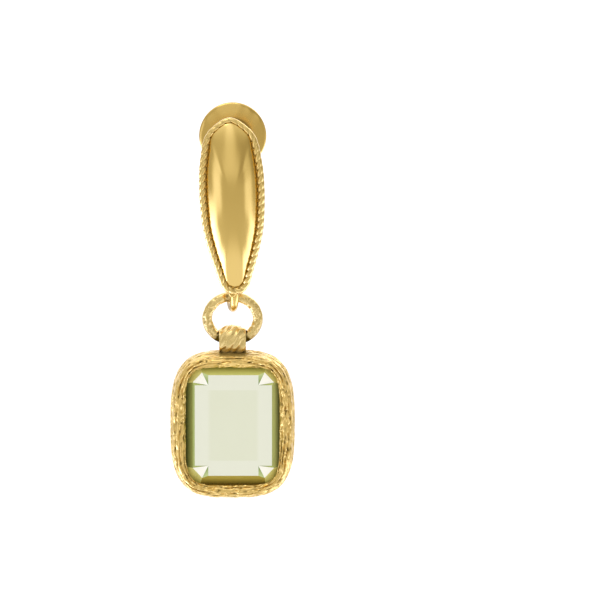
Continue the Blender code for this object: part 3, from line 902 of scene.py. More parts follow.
                # Painted shade: the rim darkens towards the rope, in the gap between the parts.
                shade_amount = between((across - 0.75) / 0.15)
                point = foot[index].lerp(edge[index], across)
            else:
                share = 1.0 - (down - self.back_row) / (1.0 - self.back_row)
                lift = self.rope / 2
                if share > 0.9:
                    lift *= 1.0 - (share - 0.9) / 0.1 * 0.35
                point = centre + (edge[index] - centre) * share
            return Vector((point.x, self.border_y(point.y) + lift, point.y)), shade_amount

        return Workbench.ball("head_dome", around, rows, place)

    def make_rope(self) -> bpy.types.Object:
        """The twisted border.

        Returns:
            The piece.
        """
        along_twist, across = self.rope_faces
        around = self.twists * along_twist
        radius = self.rope / 2
        line, top_line = (
            [Vector((p.x, self.border_y(p.y), p.y)) for p in self.edge(inset, around)]
            for inset in (radius, radius * self.top_rope)
        )
        near = [self.near_top(point.z) for point in line]
        line = [point.lerp(other, share) for point, other, share in zip(line, top_line, near)]

        def place(turn: float, side: float) -> tuple[Vector, float]:
            """A point of the rope: two strands wound round each other.

            Args:
                turn: Share of the way round.
                side: Share of the way across.

            Returns:
                The point and its crevice value.
            """
            index = round(turn * around) % around
            along = (line[(index + 1) % around] - line[index - 1]).normalized()
            forward = Vector((0.0, -1.0, 0.0))
            outward = forward.cross(along).normalized()
            forward = along.cross(outward)
            angle = math.tau * side
            east, north = math.cos(math.tau * turn), math.sin(math.tau * turn)
            wander = self.uneven[0] * grain(6.4 * east, 6.4 * north, 0.5)
            strand = abs(math.cos(angle - math.tau * self.twists * turn + wander))
            inward = 0.5 - 0.5 * math.cos(angle)
            bite = self.bite[0] + self.bite[1] * inward
            bite += self.uneven[1] * grain(14.0 * east, 14.0 * north, 2.0 * inward)
            size = radius * (1.0 - (1.0 - self.top_rope) * near[index])
            reach = size * (1.0 - bite * (1.0 - 0.5 * near[index]) * (1.0 - strand ** 0.6))
            point = line[index] + (outward * math.cos(angle) + forward * math.sin(angle)) * reach
            # Painted shade between the two strands and on the rope's inner side, which faces the dome.
            notch = (1.0 - min(1.0, strand * 1.9)) * (0.15 + 0.85 * inward)
            return point, between(0.9 * notch + 0.85 * soft_step(inward, 0.84, 0.97))

        return Workbench.torus("rope_border", around, across, cuts=4, place=place)

    def make_post(self) -> bpy.types.Object:
        """The ear post with its pointed tip.

        Returns:
            The piece.
        """
        root = self.border_y(0.0)
        length = self.post_reach - root
        middle = Vector((0.0, root + length / 2, 0.0))
        piece = Workbench.rod("ear_post", self.post / 2, length, middle, "Y", sides=40)
        for vertex in piece.data.vertices:
            vertex.co.y = min(vertex.co.y, self.post_reach - self.post_point)
        Workbench.pick_faces(piece, lambda face: face.normal.y > 0.9)
        Workbench.extrude((0.0, self.post_point, 0.0))
        bpy.ops.transform.resize(value=(0.3, 1.0, 0.3), center_override=(0.0, self.post_reach, 0.0))
        bpy.ops.object.mode_set(mode="OBJECT")
        Workbench.soften(piece, 0.08 * MM, segments=3, angle=25.0)
        return piece

    def bow_points(self, count: int) -> list[Vector]:
        """The bow's centre line.

        Args:
            count: How many points.

        Returns:
            The (y, z) points, from the head to the hinge.
        """
        start = self.border_y(-self.bow_start) + self.rope / 2 - self.bow_thickness / 2
        points = [
            (start + (self.hinge.y - start) * along, self.hinge.z - self.bow_sag * down)
            for along, down in self.bow_line
        ]
        return smooth_path(points, count, closed=False)

    def loop_centre(self) -> Vector:
        """Centre of the small loop under the bow.

        Returns:
            The point, with the loop sunk into the bow by the solder.
        """
        nearest = min(self.bow_points(60), key=lambda point: abs(point.x - self.drop_y))
        top = nearest.y - self.bow_thickness / 2 + self.solder
        return Vector((0.0, self.drop_y, top - self.loop / 2))

    def make_bow(self) -> bpy.types.Object:
        """The strip from the head's back to the hinge, with its knuckle.

        Returns:
            The piece.
        """
        line = self.bow_points(34)
        half = self.bow_thickness / 2
        upper, lower = [], []
        for index, point in enumerate(line):
            along = (line[min(index + 1, len(line) - 1)] - line[max(index - 1, 0)]).normalized()
            across = Vector((-along.y, along.x)) * half
            upper.append(tuple(point + across))
            lower.append(tuple(point - across))
        piece = Workbench.slab("bow", upper + lower[::-1], self.bow_width)
        Workbench.soften(piece, 0.12 * MM, segments=3, angle=50.0)
        knuckle = Workbench.rod("knuckle", self.knuckle / 2, self.knuckle_width, self.hinge, "X", sides=48)
        Workbench.soften(knuckle, 0.06 * MM, segments=2, angle=50.0)
        Workbench.combine(piece, knuckle, "UNION")
        bore = Workbench.rod("bore", self.bore / 2, self.knuckle_width * 2, self.hinge, "X", sides=36)
        Workbench.combine(piece, bore, "DIFFERENCE")
        return piece

    def make_loop(self) -> bpy.types.Object:
        """The small loop with the solder that holds it to the head.

        Returns:
            The piece.
        """
        centre = self.loop_centre()
        radius = (self.loop - self.loop_wire) / 2
        upright = Vector((0.0, 0.0, 1.0))
        tangent = Vector((math.sin(self.loop_turn), -math.cos(self.loop_turn), 0.0))
        sideways = tangent.cross(upright)

        def place(turn: float, side: float) -> tuple[Vector, float]:
            """A point of the loop's wire, a little uneven as bent by hand.

            Args:
                turn: Share of the way round.
                side: Share of the way across.

            Returns:
                The point and its crevice value.
            """
            angle = math.tau * turn
            spoke = tangent * math.cos(angle) + upright * math.sin(angle)
            around = math.tau * side
            wire = self.loop_wire / 2 * (1.0 + 0.02 * math.sin(3 * angle + 1.0))
            worn = self.loop_wear * soft_step(-math.sin(angle), 0.5, 1.0) * between(math.cos(around))
            reach = radius + wire * math.cos(around) + worn
            point = centre + spoke * reach + sideways * wire * math.sin(around)
            # Painted shade on the wire's sides, which dims their reflections.
            return point, 0.45 * soft_step(abs(math.sin(around)), 0.55, 0.95)

        return Workbench.torus("small_loop", 72, 24, cuts=1, place=place)

    def make_solder(self) -> bpy.types.Object:
        """The short soldered neck between the head's back and the loop.

        Returns:
            The piece.
        """
        centre = self.loop_centre()
        front = self.border_y(centre.z)
        back = self.drop_y - (self.loop - self.loop_wire) / 2
        middle = Vector((0.0, (front + back) / 2, centre.z))
        piece = Workbench.rod("solder_neck", self.solder_bar / 2, back - front, middle, "Y", sides=24)
        Workbench.soften(piece, 0.1 * MM, segments=3, angle=50.0)
        return piece

    def build(
        self, polished: bpy.types.Material, rope: bpy.types.Material, plain: bpy.types.Material
    ) -> None:
        """Makes the head's pieces.

        Args:
            polished: Finish of the dome, the post and the bow.
            rope: Finish of the border.
            plain: Finish of the small loop and its solder.
        """
        pieces = (
            (self.make_dome(), polished, Kind.ROUND),
            (self.make_rope(), rope, Kind.ROUND),
            (self.make_post(), polished, Kind.PLATE),
            (self.make_bow(), polished, Kind.PLATE),
            (self.make_loop(), plain, Kind.ROUND),
            (self.make_solder(), plain, Kind.PLATE),
        )
        for piece, finish, kind in pieces:
            dress(piece, finish, "head", "head", kind)


@dataclass
class Clasp:
    """Lever, eye and rivet of the clasp.

    Attributes:
        hinge: The hinge's centre.
        pin: Diameter of the rivet.
        pin_proud: How far each end of the rivet stands out.
        pin_gap: Gap round it in the lever.
        width: Width of the lever's channel.
        sheet: Thickness of its metal.
        reach: From the hinge to the back of the channel.
        rise: From the hinge to the collar's top.
        lobe: Diameter of the hinge lobes.
        collar_height: Height of the collar.
        collar_depth: Its depth from front to back.
        eye: Outer diameter of the eye.
        eye_hole: Diameter of its hole as in the solids.
        eye_thickness: Its thickness.
        eye_forward: How far it lies in front of its stem.
        eye_raise: How far its lower edge lies over the collar.
        eye_opening: Diameter of its hole as seen.
        eye_opening_drop: How far that hole lies under its centre.
        eye_dome: How far its outer edge lies behind the hole's.
        eye_wave: Height of its broad unevenness.
        stem_width: Width of the stem.
        stem_depth: How far the stem reaches into the collar.
        fit: Gap between the stem and the collar.
        edge_points: Points along each smooth edge of the lever.
        back_edge: Share of the reach and share of the rise, from the collar down.
        front_edge: The same from the lobe up.
    """

    hinge: Vector = field(default_factory=lambda: Vector(HINGE))
    pin: float = 0.77 * MM
    pin_proud: float = 0.07 * MM
    pin_gap: float = 0.05 * MM
    width: float = 2.05 * MM
    sheet: float = 0.3 * MM
    reach: float = 2.82 * MM
    rise: float = 6.49 * MM
    lobe: float = 2.62 * MM
    collar_height: float = 2.28 * MM
    collar_depth: float = 1.08 * MM
    eye: float = 6.0 * MM
    eye_hole: float = 3.46 * MM
    eye_thickness: float = 0.45 * MM
    eye_forward: float = 0.59 * MM
    eye_raise: float = 0.07 * MM
    eye_opening: float = 3.2 * MM
    eye_opening_drop: float = 0.2 * MM
    eye_dome: float = 0.16 * MM
    eye_wave: float = 0.055 * MM
    stem_width: float = 1.25 * MM
    stem_depth: float = 1.6 * MM
    fit: float = 0.06 * MM
    edge_points: int = 14
    back_edge: Line = (
        (0.865, 1.00),
        (0.936, 0.76),
        (1.00, 0.48),
        (0.972, 0.27),
        (0.900, 0.055),
    )
    front_edge: Line = (
        (-0.404, 0.108),
        (-0.216, 0.193),
        (0.082, 0.288),
        (0.323, 0.373),
        (0.592, 0.490),
        (0.741, 0.607),
    )

    def stem_y(self) -> float:
        """Place of the stem's middle along Y."""
        return self.hinge.y + self.reach * self.back_edge[0][0] - self.collar_depth / 2

    def eye_centre(self) -> Vector:
        """Centre of the eye.

        Returns:
            The point, over the collar and in front of the stem.
        """
        return Vector((
            0.0,
            self.stem_y() - self.eye_forward,
            self.hinge.z + self.rise + self.eye_raise + self.eye / 2,
        ))

    def at_hinge(self, points: Points) -> list[tuple[float, float]]:
        """Moves (y, z) points that are counted from the hinge to their place."""
        return [(self.hinge.y + y, self.hinge.z + z) for y, z in points]

    def smooth_edge(self, line: Line) -> list[tuple[float, float]]:
        """A smooth edge of the lever as (y, z) points, counted from the hinge."""
        points = [(self.reach * y, self.rise * z) for y, z in line]
        return [tuple(point) for point in smooth_path(points, self.edge_points, closed=False)]

    def make_lever(self) -> bpy.types.Object:
        """The folded channel with its collar.

        Returns:
            The piece.
        """
        back = self.smooth_edge(self.back_edge)
        front = self.smooth_edge(self.front_edge)
        collar_front = back[0][0] - self.collar_depth
        collar_bottom = self.rise - self.collar_height
        radius = self.lobe / 2
        arc = [math.radians(10.0 - 9.5 * i) for i in range(21)]
        lobe = [(radius * math.cos(a), radius * math.sin(a)) for a in arc]
        outline = back + [(radius + self.sheet, back[-1][1])] + lobe + front
        outline += [(collar_front, collar_bottom), (collar_front, self.rise)]
        lever = Workbench.slab("clasp_lever_body", self.at_hinge(outline), self.width)

        inner = [(y - self.sheet, z) for y, z in back if z < collar_bottom]
        inner.insert(0, (inner[0][0], collar_bottom))
        inner += [(inner[-1][0], -self.lobe), (-self.lobe, -self.lobe), (-self.lobe, collar_bottom)]
        channel = Workbench.slab("channel", self.at_hinge(inner), self.width - 2 * self.sheet)
        Workbench.combine(lever, channel, "DIFFERENCE")
        hole_radius = self.pin / 2 + self.pin_gap
        hole = Workbench.rod("pin_hole", hole_radius, self.width * 2, self.hinge, "X", sides=36)
        Workbench.combine(lever, hole, "DIFFERENCE")
        half_width = self.stem_width / 2 + self.fit
        half_depth = self.eye_thickness / 2 + self.fit
        stem = self.stem_y() - self.hinge.y
        near, far = stem - half_depth, stem + half_depth
        low = self.rise - self.stem_depth - self.fit
        high = self.rise + self.collar_height
        mouth = self.at_hinge([(near, low), (far, low), (far, high), (near, high)])
        Workbench.combine(lever, Workbench.slab("socket", mouth, 2 * half_width), "DIFFERENCE")
        Workbench.soften(lever, 0.07 * MM, segments=3, angle=35.0)
        return lever

    def make_eye(self) -> bpy.types.Object:
        """The shallow domed ring that the post's end passes through.

        Returns:
            The piece.
        """
        centre = self.eye_centre()
        outer, hole = self.eye / 2, self.eye_opening / 2
        half = self.eye_thickness / 2

        def place(turn: float, side: float) -> tuple[Vector, float]:
            """A point of the ring, its section a rounded bar.

            Args:
                turn: Share of the way round.
                side: Share of the way across.

            Returns:
                The point and its crevice value.
            """
            angle = math.tau * turn
            around = math.tau * side
            down = self.eye_opening_drop * math.sin(angle)
            inner = -down + math.sqrt(hole ** 2 - (self.eye_opening_drop * math.cos(angle)) ** 2)
            across = math.copysign(abs(math.cos(around)) ** 0.35, math.cos(around))
            through = math.copysign(abs(math.sin(around)) ** 0.55, math.sin(around))
            radius = (outer + inner) / 2 + (outer - inner) / 2 * across
            dome = self.eye_dome * (radius ** 2 - hole ** 2) / (outer ** 2 - hole ** 2)
            east, north = radius / MM * math.cos(angle), radius / MM * math.sin(angle)
            wave = self.eye_wave * grain(1.4 * east, 0.50 * north, 2.0)
            x = centre.x + radius * math.cos(angle)
            y = centre.y + half * through + dome + wave
            z = centre.z + radius * math.sin(angle)
            # Painted shade on the inner rounding round the hole.
            return Vector((x, y, z)), 0.75 * soft_step(math.cos(around), -0.02, -0.50)

        return Workbench.torus("clasp_eye_ring", 128, 40, cuts=1, place=place)

    def make_stem(self) -> bpy.types.Object:
        """The stem that holds the eye in the collar.

        Returns:
            The piece.
        """
        half = self.eye_thickness / 2
        centre = self.eye_centre()
        stem = self.stem_y()
        top = self.hinge.z + self.rise
        width = (self.eye - self.eye_hole) / 2
        bend = top + self.eye_raise
        outline = [
            (centre.y - half * 0.8, bend + width * 0.7),
            (centre.y - half * 0.8, bend + width * 0.25),
            (stem - half, bend),
            (stem - half, top - self.stem_depth),
            (stem + half, top - self.stem_depth),
            (stem + half, bend + width * 0.35),
            (centre.y + half * 0.8, bend + width * 0.7),
        ]
        piece = Workbench.slab("clasp_eye_stem", outline, self.stem_width)
        Workbench.soften(piece, 0.08 * MM, segments=3, angle=25.0)
        return piece

    def make_rivet(self) -> bpy.types.Object:
        """The hinge's rivet, its ends struck a little flat.

        Returns:
            The piece.
        """
        length = self.width + 2 * self.pin_proud
        piece = Workbench.rod("hinge_rivet", self.pin / 2, length, self.hinge, "X", sides=40)
        Workbench.soften(piece, 0.06 * MM, segments=3, angle=50.0)
        return piece

    def build(self, plain: bpy.types.Material, worn: bpy.types.Material) -> None:
        """Makes the clasp's pieces.

        Args:
            plain: Finish of the eye and its stem.
            worn: Finish of the lever and the rivet.
        """
        pieces = (
            (self.make_lever(), worn, "clasp_lever", Kind.PLATE),
            (self.make_eye(), plain, "clasp_eye", Kind.ROUND),
            (self.make_stem(), plain, "clasp_eye", Kind.PLATE),
            (self.make_rivet(), worn, "hinge_pin", Kind.PLATE),
        )
        for piece, finish, node, kind in pieces:
            dress(piece, finish, "lever", node, kind)


@dataclass
class ConnectingRing:
    """Oval ring whose wire is hammered.

    Attributes:
        width: Width over the wire.
        height: Height over the wire.
        wire: Diameter of the wire.
        faces: The ring's faces around and across the wire.
        cut_depth: Depth of the dents.
        blow_size: Distance between the dents, in millimetres.
        blow_warp: How far the dents are moved out of true, in millimetres.
        blow_reach: How wide a dent is, as a share of that distance.
        outer_calm: How much shallower they are on the outside of the ring.
    """

    width: float = 5.41 * MM
    height: float = 4.81 * MM
    wire: float = 0.93 * MM
    faces: tuple[int, int] = (420, 48)
    cut_depth: float = 0.10 * MM
    blow_size: float = 0.52
    blow_warp: tuple[float, float, float] = (0.16, -0.12, 0.16)
    blow_reach: float = 0.72
    outer_calm: float = 0.70

    def half_axes(self) -> tuple[float, float]:
        """Half the width and half the height of the wire's centre line."""
        return (self.width - self.wire) / 2, (self.height - self.wire) / 2

    def build(self, finish: bpy.types.Material, centre: Vector) -> None:
        """Makes the ring.

        Args:
            finish: Finish of the worked metal.
            centre: The ring's centre.
        """
        half_width, half_height = self.half_axes()
        backward = Vector((0.0, 1.0, 0.0))
        blow_warp = Vector(self.blow_warp)

        def place(turn: float, side: float) -> tuple[Vector, float]:
            """A point of the wire, dented all over by small hammer blows.

            Args:
                turn: Share of the way round.
                side: Share of the way across.

            Returns:
                The point and its crevice value.
            """
            angle = math.tau * turn
            around = math.tau * side
            spine = Vector((half_width * math.cos(angle), 0.0, half_height * math.sin(angle)))
            outward = Vector((math.cos(angle) / half_width, 0.0, math.sin(angle) / half_height))
            outward.normalize()
            spoke = outward * math.cos(around) + backward * math.sin(around)
            skin = (spine + spoke * self.wire / 2) / MM
            warp = grain(2.2 * skin.x, 2.2 * skin.y, 2.2 * skin.z)
            near, _ = noise.voronoi((skin + blow_warp * warp) / self.blow_size)
            dent = 1.0 - between(near[0] / self.blow_reach)
            fleck = grain(5.5 * skin.x, 5.5 * skin.y, 5.5 * skin.z)
            gate = between(0.45 + 1.3 * grain(1.1 * skin.x, 2.0 * skin.y, 1.1 * skin.z + 4.0))
            depth = between(1.25 * dent * (0.55 + 0.45 * gate) + 0.30 * fleck)
            calm = 1.0 - self.outer_calm * soft_step(math.cos(around), 0.40, 0.95)
            reach = self.wire / 2 - self.cut_depth * depth * calm
            point = centre + spine + spoke * reach
            across, height = abs(spine.x) / MM, spine.z / MM
            inner = 0.5 - 0.5 * math.cos(around)
            # Painted shade: darker in the deeper dents, where the wire enters the bead, on the inner side
            # by the loop and on the lower outside, where it dims the glints.
            pit_shade = soft_step(depth, 0.38, 0.85) * (0.25 + 0.75 * gate) * calm
            bead_mouth_shade = soft_step(across, 1.45, 1.27) * soft_step(height, 0.0, -0.8)
            loop_contact_shade = soft_step(across, 0.66, 0.42) * soft_step(height, 0.5, 1.2) * inner
            outside = soft_step(math.cos(around), 0.0, 0.8) * soft_step(-height, -0.6, 0.9)
            return point, between(0.62 * pit_shade + 0.85 * bead_mouth_shade + 0.4 * loop_contact_shade + 0.45 * outside)

        piece = Workbench.torus("connecting_ring", *self.faces, cuts=2, place=place)
        dress(piece, finish, "ring", "ring")


@dataclass
class Drop:
    """The frame with its bail bead, and the stone.

    Attributes:
        width: Width of the frame over its relief.
        height: Its height.
        depth: Its depth.
        squareness: Power of its outline, 2 for an ellipse.
        opening_width: Width of its opening.
        opening_height: Height of its opening.
        opening_squareness: Power of the opening's outline.
        frame_faces: The frame's faces around and across.
        arch_faces: Those across that lie outside the stone's seat.
        relief: Height of the bark.
        bail_width: Width of the bail bead.
        bail_height: Its height.
        bail_depth: Its depth.
        bail_faces: Its faces around and across.
        bail_sink: How far it sinks into the frame.
        bail_top_wall: Its metal over the ring's wire.
        bail_cut: Depth of its facets, as a share of its radius.
        bail_cuts: Facets around it.
        bail_slant: How far they slant, in facets for each millimetre.
        bail_long_side: Share of a facet that its longer side takes.
        swing: How far the drop swings to either side.
        link_gap: Gap round the ring's wire in the bead.
        fit: Gap round the stone.
        stone_overlap: How far the stone reaches under the lip.
        stone_lip: Depth of the lip in front of it.
        crown: Height of the stone over its girdle.
        crown_clear: Share of the crown that lies behind the lip.
        girdle: Height of the girdle.
        pavilion: Depth under the girdle.
        table_width: Width of the stone's table.
        table_height: Height of the table.
        table_shift: How far the table lies off centre.
        notch_width: Width of the table's corner notches.
        notch_height: Height of the notches.
        arch: The frame's section: share of its width and share of its depth.
    """

    width: float = 11.08 * MM
    height: float = 13.1 * MM
    depth: float = 3.8 * MM
    squareness: float = 3.3
    opening_width: float = 8.33 * MM
    opening_height: float = 10.55 * MM
    opening_squareness: float = 5.5
    frame_faces: tuple[int, int] = (768, 108)
    arch_faces: int = 84
    relief: float = 0.15 * MM
    bail_width: float = 2.37 * MM
    bail_height: float = 2.75 * MM
    bail_depth: float = 2.3 * MM
    bail_faces: tuple[int, int] = (216, 104)
    bail_sink: float = 0.35 * MM
    bail_top_wall: float = 0.93 * MM
    bail_cut: float = 0.12
    bail_cuts: int = 7
    bail_slant: float = 1.55
    bail_long_side: float = 0.62
    swing: float = math.radians(35.0)
    link_gap: float = 0.04 * MM
    fit: float = 0.06 * MM
    stone_overlap: float = 0.335 * MM
    stone_lip: float = 0.75 * MM
    crown: float = 1.15 * MM
    crown_clear: float = 0.42
    girdle: float = 0.12 * MM
    pavilion: float = 2.2 * MM
    table_width: float = 6.86 * MM
    table_height: float = 9.0 * MM
    table_shift: tuple[float, float] = (0.07 * MM, 0.10 * MM)
    notch_width: float = 1.2 * MM
    notch_height: float = 0.9 * MM
    arch: Line = (
        (0.12, 1.00),
        (0.02, 0.86),
        (0.00, 0.62),
        (0.02, 0.40),
        (0.08, 0.22),
        (0.20, 0.09),
        (0.36, 0.02),
        (0.54, 0.00),
        (0.72, 0.02),
        (0.88, 0.07),
        (1.00, 0.14),
    )

    def front(self, drop_y: float) -> float:
        """Place of the frame's crest along Y."""
        return drop_y - self.depth / 2 + self.relief

    def girdle_y(self, drop_y: float) -> float:
        """Place of the girdle's front edge along Y."""
        return self.front(drop_y) + self.stone_lip + self.crown * self.crown_clear

    @staticmethod
    def rounded(angle: float, width: float, height: float, squareness: float) -> float:
        """Distance from the centre to a rounded rectangle.

        Args:
            angle: Direction from the centre.
            width: The rectangle's width.
            height: Its height.
            squareness: Its power, 2 for an ellipse.

        Returns:
            The distance.
        """
        across = abs(2 * math.cos(angle) / width) ** squareness
        upwards = abs(2 * math.sin(angle) / height) ** squareness
        return (across + upwards) ** (-1.0 / squareness)

    def outer_edge(self, angle: float, grown: float) -> float:
        """Distance from the frame's centre to its outer edge, moved out by a length."""
        return self.rounded(angle, self.width + 2 * grown, self.height + 2 * grown, self.squareness)

    def opening_edge(self, angle: float, grown: float) -> float:
        """Distance from the frame's centre to its opening's edge, moved out by a length."""
        width, height = self.opening_width + 2 * grown, self.opening_height + 2 * grown
        return self.rounded(angle, width, height, self.opening_squareness)

    @staticmethod
    def bark(run: float, across: float) -> tuple[float, float]:
        """The frame's relief: long torn strands with oblique nicks, as on bark.

        Args:
            run: Length along the frame, in millimetres.
            across: Length across it from the back over the crest to the lip, in millimetres.

        Returns:
            The height from -1 to 1, and the painted shade in its cracks, nicks and pits, from 0 to 1.
        """
        drift = grain(run * 0.22, across * 0.40, 3.0)
        lane = across / STRAND_WIDTH + 1.3 * drift + 0.40 * grain(run * 0.8, across * 0.9, 5.0)
        ridge = abs(math.sin(math.pi * lane)) ** 0.7
        groove = between(0.55 + grain(run * 0.45, 3.7 * round(lane), 9.0), 0.15)
        torn = between(3.4 * grain(run * 0.30, 5.1 * round(lane), 29.0) - 0.8)
        hand = 1.0 if math.floor(lane) % 2 else -1.0
        lay = (run + hand * 1.1 * across) / NICK_SPACING + grain(run * 0.6, across * 1.5, 13.0)
        nick = abs(math.sin(math.pi * lay)) ** 0.5
        gate = between(0.28 + 1.5 * grain(run * 0.9, across * 2.0, 17.0)) * ridge
        streak = grain(run * 1.3, across * 5.5, 23.0)
        height = 1.0 - groove * (1.0 - ridge) - 0.50 * gate * (1.0 - nick) + 0.34 * streak
        # Painted shade: dark in the grooves, torn cracks, nicks and low pits.
        pit_shade = between(4.0 * grain(run * 1.9, across * 4.2, 37.0) - 0.50)
        crack = (groove + 1.5 * torn) * (1.0 - ridge) ** 1.7 + 0.8 * gate * (1.0 - nick) ** 2
        crack += 1.5 * pit_shade * between(1.15 - height)
        return between(2.0 * height - 1.0, -1.0), between(crack)

    def make_frame(self, drop_y: float, centre_z: float) -> bpy.types.Object:
        """The bark-textured frame, open at the back.

        Args:
            drop_y: Place of the drop's plane along Y.
            centre_z: Height of the setting's centre.

        Returns:
            The piece.
        """
        around, across = self.frame_faces
        front_rows = self.arch_faces
        metal = self.depth - self.relief
        front = self.front(drop_y)
        band = (self.width - self.opening_width) / 2
        section = smooth_path([(i * band, b * metal) for i, b in self.arch], front_rows, closed=False)
        length = sum((b - a).length for a, b in zip(section, section[1:])) / MM
        groove = self.stone_overlap + 2 * self.fit
        girdle = self.girdle_y(drop_y) - front
        ledge = girdle + self.girdle + self.pavilion * 0.14 + 2 * self.fit
        seat = smooth_path(
            [
                (0.0, self.stone_lip),
                (groove, girdle - self.fit),
                (groove, girdle + self.girdle + 2 * self.fit),
                (-self.fit, ledge),
                (self.fit, metal),
            ],
            across - front_rows,
            closed=False,
        )
        rim = []
        for index in range(around + 1):
            angle = math.tau * index / around
            radius = self.outer_edge(angle, 0.0) / MM
            rim.append((radius * math.cos(angle), radius * math.sin(angle)))
        runs = [0.0]
        for start, end in zip(rim, rim[1:]):
            runs.append(runs[-1] + math.dist(start, end))

        def place(turn: float, side: float) -> tuple[Vector, float]:
            """A point of the frame.

            Args:
                turn: Share of the way round.
                side: Share of the way across.

            Returns:
                The point and its crevice value.
            """
            angle = math.tau * turn
            row = round(side * across) % across
            shade_amount = 0.0
            if row < front_rows:
                point = section[row]
                along = (section[min(row + 1, front_rows - 1)] - section[max(row - 1, 0)]).normalized()
                share = row / (front_rows - 1)
                run = runs[round(turn * around)]
                lift, shade_amount = self.bark(run, share * length)
                seam = soft_step(run, runs[-1] - SEAM, runs[-1])
                if seam > 0.0:
                    next_lift, next_hollow = self.bark(run - runs[-1], share * length)
                    lift += (next_lift - lift) * seam
                    shade_amount += (next_hollow - shade_amount) * seam
                calm = 1.0 - 0.55 * soft_step(share, 0.50, 0.58) * soft_step(share, 0.70, 0.62)
                strength = self.relief * soft_step(share, 0.0, 0.06) * soft_step(share, 1.0, 0.95) * calm
                # Painted shade: the bark's cracks darken less where the relief fades, and a painted shadow
                # falls under the bail bead.
                shade_amount *= strength / self.relief
                if math.sin(angle) > 0.9:
                    aside = abs(self.height / 2 * math.cos(angle)) / MM
                    under_bead_shade = soft_step(aside, 1.35, 1.10) * soft_step(share, 0.76, 0.66)
                    shade_amount = max(shade_amount, 0.7 * under_bead_shade * soft_step(share, 0.22, 0.34))
                outer = self.outer_edge(angle, -self.relief)
                inner = self.opening_edge(angle, 0.0)
                radius = outer + (inner - outer) * point.x / band - along.y * strength * lift
                depth = point.y - along.x * strength * lift
            else:
                point = seat[row - front_rows]
                radius = self.opening_edge(angle, point.x)
                depth = point.y
            x, z = radius * math.cos(angle), centre_z + radius * math.sin(angle)
            return Vector((x, front + depth, z)), shade_amount

        return Workbench.torus("bark_frame", around, across, cuts=3, place=place)

    def make_bail(self, ring: ConnectingRing, pivot: Vector) -> bpy.types.Object:
        """The cut bead that the ring passes through.

        Args:
            ring: The ring that it hangs on.
            pivot: Centre of the ring's wire in the bead.

        Returns:
            The piece.
        """
        half = self.bail_width / 2
        half_width, half_height = ring.half_axes()
        centre_z = pivot.z + ring.wire / 2 + self.bail_top_wall - self.bail_height / 2
        small_step = 0.01 * MM

        def rise(x: float) -> float:
            """How far the ring's bent wire rises beside its lowest point."""
            return half_height * (1.0 - math.sqrt(max(0.0, 1.0 - (x / half_width) ** 2)))

        def place(turn: float, side: float) -> tuple[Vector, float]:
            """A point of the bead: its outer side, then the hole.

            Args:
                turn: Share of the way round.
                side: Share of the way across.

            Returns:
                The point and its crevice value.
            """
            angle = math.tau * turn
            along = -math.cos(math.tau * side)
            if side < 0.5:
                back, up = math.cos(angle), math.sin(angle)
                crown = soft_step(up, -0.35, 0.5)
                swell = 1.0 - crown * 0.26 * abs(along) ** 1.9 - (1.0 - crown) * 0.12 * abs(along) ** 5
                wander = 0.30 * grain(1.8 * along, 1.5 * back, 1.5 * up)
                lay = self.bail_slant * half * along / MM + self.bail_cuts * turn + wander
                number = math.floor(lay)
                part = lay - number
                cut = min(part / self.bail_long_side, (1.0 - part) / (1.0 - self.bail_long_side))
                facet = 0.5 + 0.9 * grain(7.3 * (number % self.bail_cuts), 1.7 * back, 1.7 * up)
                ease = soft_step(abs(along), 1.0, 0.88)
                fleck = 0.12 * grain(3 * along, 3 * back, 3 * up)
                depth = between((1.0 - cut) * (0.45 + 0.55 * facet) + fleck) * ease
                share = swell * (1.0 - self.bail_cut * depth)
                y = pivot.y + self.bail_depth / 2 * share * back
                z = centre_z + self.bail_height / 2 * share * up
                # Painted shade: darker at the bottom of each cut and at the bead's foot over the frame.
                foot = 0.65 * soft_step(up, -0.62, -0.84)
                return Vector((half * along, y, z)), between(depth ** 2 * 0.55 + foot)
            x = half * along
            lift = rise(abs(x))
            slope = (rise(abs(x) + small_step) - lift) / small_step
            wire = ring.wire / 2 * math.hypot(1.0, slope)
            sway = math.hypot(lift * math.sin(self.swing), lift * (math.cos(self.swing) - 0.5))
            radius = wire + max(lift / 2, sway) + self.link_gap * 1.5
            y = pivot.y + radius * math.cos(angle)
            z = pivot.z + lift / 2 + radius * math.sin(angle)
            # Painted shade: the hole is fully dark inside.
            return Vector((x, y, z)), 1.0

        return Workbench.torus("bail_bead", *self.bail_faces, cuts=1, place=place)

